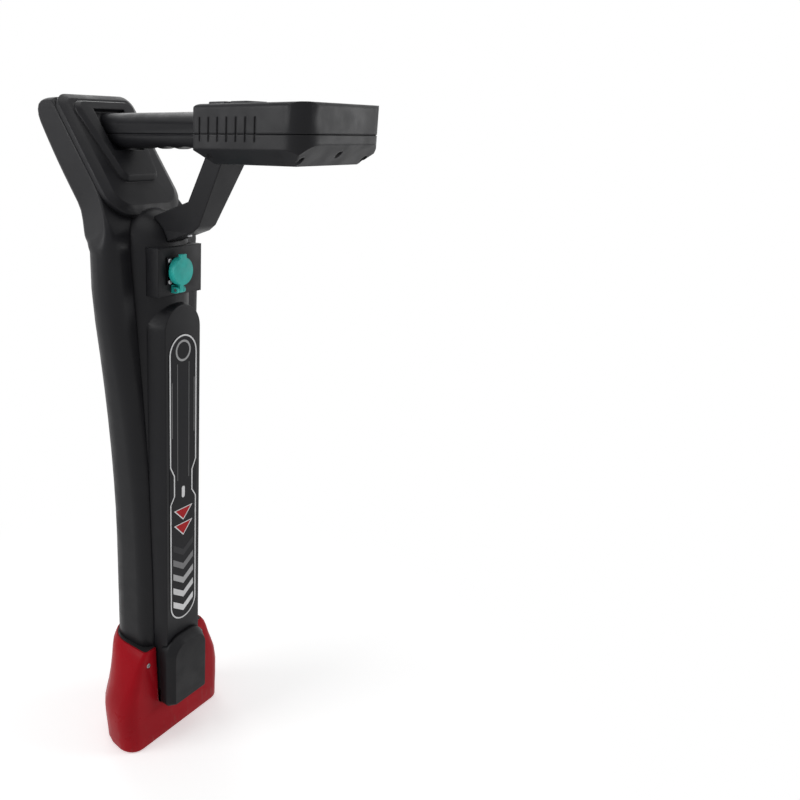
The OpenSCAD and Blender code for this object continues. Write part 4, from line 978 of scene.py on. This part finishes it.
def screw_tree():
    """Sets a screw on every point, along the point's facing attribute, each with its own turn."""
    tree, start, end, names = geometry_tree("screw_set", [
        ("Screw", "NodeSocketObject", None), ("Seed", "NodeSocketInt", 4),
        ("Material", "NodeSocketMaterial", None)])
    new, link = tree.nodes.new, tree.links.new
    shape = new("GeometryNodeObjectInfo")
    link(start.outputs["Screw"], shape.inputs["Object"])
    facing = new("GeometryNodeInputNamedAttribute")
    facing.data_type = "FLOAT_VECTOR"
    facing.inputs["Name"].default_value = "facing"
    turn = new("FunctionNodeAlignRotationToVector")
    turn.axis = "Z"
    link(facing.outputs["Attribute"], turn.inputs["Vector"])
    copies = new("GeometryNodeInstanceOnPoints")
    link(start.outputs["Geometry"], copies.inputs["Points"])
    link(shape.outputs["Geometry"], copies.inputs["Instance"])
    link(turn.outputs["Rotation"], copies.inputs["Rotation"])
    angle = new("FunctionNodeRandomValue")
    angle.data_type = "FLOAT"
    # Input 3 is the float's Max, and output 1 is the float
    angle.inputs[3].default_value = math.pi / 2
    link(start.outputs["Seed"], angle.inputs["Seed"])
    axis = new("ShaderNodeCombineXYZ")
    link(angle.outputs[1], axis.inputs["Z"])
    spin = new("GeometryNodeRotateInstances")
    link(copies.outputs["Instances"], spin.inputs["Instances"])
    link(axis.outputs["Vector"], spin.inputs["Rotation"])
    real = new("GeometryNodeRealizeInstances")
    link(spin.outputs["Instances"], real.inputs["Geometry"])
    finish = new("GeometryNodeSetMaterial")
    link(real.outputs["Geometry"], finish.inputs["Geometry"])
    link(start.outputs["Material"], finish.inputs["Material"])
    link(finish.outputs["Geometry"], end.inputs["Geometry"])
    return tree, names


class LOCATOR_OT_screws(bpy.types.Operator):
    """Gives every screw a pan head with a cross recess"""

    bl_idname = "locator.screws"
    bl_label = "Screws"

    def execute(self, context):
        materials = finishes(settings().colours)
        tree, names = screw_tree()
        for seed, (node, out) in enumerate(SCREW_FACING.items()):
            out = Vector(out)
            facts = [screw_facts(points, out) for points in islands(node)]
            shape = screw_mesh(node, *facts[0][1:], settings().sizes.recess)
            screw = bpy.data.objects.new(node + "_shape", shape)
            points = bpy.data.meshes.new(node + "_points")
            points.from_pydata([fact[0] for fact in facts], [], [])
            facing = points.attributes.new("facing", "FLOAT_VECTOR", "POINT")
            for entry in facing.data:
                entry.vector = out
            values = {"Screw": screw, "Seed": seed, "Material": materials[slot_of(node)]}
            mesh = baked(tree, names, values, points)
            bpy.data.objects.remove(screw)
            new_piece(node + "_dressed", mesh, None, body_of(node), slot_of(node), node)
        return {"FINISHED"}


INSIDE = (
    "battery_tray", "battery_cells", "case_seal", "display_panel", "main_board", "loudspeaker",
    "key_mat", "spine", "receiver_board", "lower_ferrite", "lower_winding", "upper_ferrite",
    "upper_winding", "upright_ferrite", "upright_winding")


class LOCATOR_OT_inside(bpy.types.Operator):
    """Paints the pieces inside the wand and the box"""

    bl_idname = "locator.inside"
    bl_label = "Inside pieces"

    def execute(self, context):
        materials = finishes(settings().colours)
        for node in INSIDE:
            paint(node, materials)
        return {"FINISHED"}


# Stage

FLOOR_HALF_W = 6
FLOOR_GREY = (0.8, 0.8, 0.8, 1)
FLOOR_GLOW = 0.45
# Distances from the wand at which the floor starts to turn white and is all white
WHITE_FROM = 0.2
WHITE_FULL = 0.55
WORLD_LIGHT = 0.24
WHITE = 1.0
MIDDLE = (0.05, 0, 0.38)
# Each lamp's name, place, target, size and power in watts
LAMPS = (
    ("soft_right", (1.25, 1.2, 0.9), (0.1, 0, 0.55), (0.8, 0.9), 9),
    ("soft_left", (-0.55, -1.1, 0.95), (0.05, 0, 0.58), (0.7, 0.7), 8.5),
    ("soft_top", (0.1, 0.0, 2.3), MIDDLE, (1.5, 1.5), 12),
    ("soft_back", (-1.5, 0.9, 1.2), MIDDLE, (1.0, 1.6), 7),
)
# The camera's place in metres, its heading, dip and roll in degrees, and its lens in millimetres
CAMERA_PLACE = (0.57075, -0.56268, 0.65412)
CAMERA_HEADING = 41.5
CAMERA_DIP = 18.3
CAMERA_ROLL = 0.4
CAMERA_SENSOR = 36
CAMERA_LENS = 36
CAMERA_SHIFT = 0.25


def background_share(nodes, links):
    """1 for rays that show the background: from the camera, off shiny surfaces, through glass."""
    path = nodes.new("ShaderNodeLightPath")
    last = path.outputs["Is Camera Ray"]
    for ray in ("Is Glossy Ray", "Is Transmission Ray"):
        either = nodes.new("ShaderNodeMath")
        either.operation = "MAXIMUM"
        links.new(last, either.inputs[0])
        links.new(path.outputs[ray], either.inputs[1])
        last = either.outputs["Value"]
    return last


def backdrop_material():
    """White away from the wand, and a pale floor that takes its shadow near it."""
    material = bpy.data.materials.new("stage_white")
    material.use_nodes = True
    nodes, links = material.node_tree.nodes, material.node_tree.links
    nodes.clear()
    output = nodes.new("ShaderNodeOutputMaterial")
    diffuse = nodes.new("ShaderNodeBsdfDiffuse")
    diffuse.inputs["Color"].default_value = FLOOR_GREY
    glow = nodes.new("ShaderNodeEmission")
    glow.inputs["Strength"].default_value = FLOOR_GLOW
    floor = nodes.new("ShaderNodeAddShader")
    links.new(diffuse.outputs["BSDF"], floor.inputs[0])
    links.new(glow.outputs["Emission"], floor.inputs[1])
    white = nodes.new("ShaderNodeEmission")
    white.inputs["Strength"].default_value = WHITE
    place = nodes.new("ShaderNodeTexCoord")
    length = nodes.new("ShaderNodeVectorMath")
    length.operation = "LENGTH"
    links.new(place.outputs["Object"], length.inputs[0])
    far = nodes.new("ShaderNodeMapRange")
    far.interpolation_type = "SMOOTHSTEP"
    far.inputs["From Min"].default_value = WHITE_FROM
    far.inputs["From Max"].default_value = WHITE_FULL
    links.new(length.outputs["Value"], far.inputs["Value"])
    share = nodes.new("ShaderNodeMath")
    share.operation = "MULTIPLY"
    links.new(far.outputs["Result"], share.inputs[0])
    links.new(background_share(nodes, links), share.inputs[1])
    mix = nodes.new("ShaderNodeMixShader")
    links.new(share.outputs["Value"], mix.inputs["Fac"])
    links.new(floor.outputs["Shader"], mix.inputs[1])
    links.new(white.outputs["Emission"], mix.inputs[2])
    links.new(mix.outputs["Shader"], output.inputs["Surface"])
    return material


def area_light(name, place, target, size, power):
    light = bpy.data.lights.new(name, "AREA")
    light.shape = "RECTANGLE"
    light.size, light.size_y = size
    light.energy = power
    lamp = bpy.data.objects.new(name, light)
    lamp.location = place
    aim = Vector(target) - Vector(place)
    lamp.rotation_euler = aim.to_track_quat("-Z", "Y").to_euler()
    bpy.context.scene.collection.objects.link(lamp)


class LOCATOR_OT_stage(bpy.types.Operator):
    """Sets the floor, the lights, the world and the camera"""

    bl_idname = "locator.stage"
    bl_label = "Stage"

    def execute(self, context):
        scene = context.scene
        bm = bmesh.new()
        bmesh.ops.create_grid(bm, x_segments=1, y_segments=1, size=FLOOR_HALF_W)
        mesh = bpy.data.meshes.new("floor")
        bm.to_mesh(mesh)
        bm.free()
        mesh.materials.append(backdrop_material())
        floor = bpy.data.objects.new("floor", mesh)
        floor.location = (0, 0, CAD_BOX[0][2])
        scene.collection.objects.link(floor)

        for lamp in LAMPS:
            area_light(*lamp)
        world = bpy.data.worlds.new("studio")
        world.use_nodes = True
        nodes, links = world.node_tree.nodes, world.node_tree.links
        shine = nodes["Background"]
        level = nodes.new("ShaderNodeMapRange")
        level.inputs["To Min"].default_value = WORLD_LIGHT
        level.inputs["To Max"].default_value = WHITE
        links.new(background_share(nodes, links), level.inputs["Value"])
        shine.inputs["Color"].default_value = (1, 1, 1, 1)
        links.new(level.outputs["Result"], shine.inputs["Strength"])
        scene.world = world

        camera = bpy.data.cameras.new("camera")
        camera.sensor_width = CAMERA_SENSOR
        camera.lens = CAMERA_LENS
        camera.shift_x = CAMERA_SHIFT
        eye = bpy.data.objects.new("camera", camera)
        turn = Matrix.Identity(4)
        for angle, axis in ((CAMERA_HEADING, "Z"), (90 - CAMERA_DIP, "X"), (CAMERA_ROLL, "Z")):
            turn = turn @ Matrix.Rotation(math.radians(angle), 4, axis)
        eye.matrix_world = Matrix.Translation(CAMERA_PLACE) @ turn
        scene.collection.objects.link(eye)
        scene.camera = eye
        scene.view_settings.view_transform = "Standard"
        return {"FINISHED"}


class LOCATOR_PT_panel(bpy.types.Panel):
    """Lists the steps that dress the wand"""

    bl_idname = "LOCATOR_PT_panel"
    bl_label = "Cable locator"
    bl_space_type = "VIEW_3D"
    bl_region_type = "UI"
    bl_category = "Locator"

    def draw(self, context):
        for group in (settings().sizes, settings().colours):
            for name in group.__annotations__:
                self.layout.prop(group, name)
        for step in STEPS:
            self.layout.operator(step.bl_idname)


STEPS = (LOCATOR_OT_stage, LOCATOR_OT_wand, LOCATOR_OT_box, LOCATOR_OT_keys, LOCATOR_OT_display,
         LOCATOR_OT_socket, LOCATOR_OT_label, LOCATOR_OT_chevrons, LOCATOR_OT_screws,
         LOCATOR_OT_inside)
CLASSES = (LocatorSizes, LocatorColours, LocatorSettings) + STEPS + (LOCATOR_PT_panel,)


def register():
    for cls in CLASSES:
        bpy.utils.register_class(cls)
    bpy.types.Scene.locator = bpy.props.PointerProperty(type=LocatorSettings)


def unregister():
    del bpy.types.Scene.locator
    for cls in reversed(CLASSES):
        bpy.utils.unregister_class(cls)


def main():
    register()
    for step in STEPS:
        group, name = step.bl_idname.split(".")
        getattr(getattr(bpy.ops, group), name)()


if __name__ == "__main__":
    main()
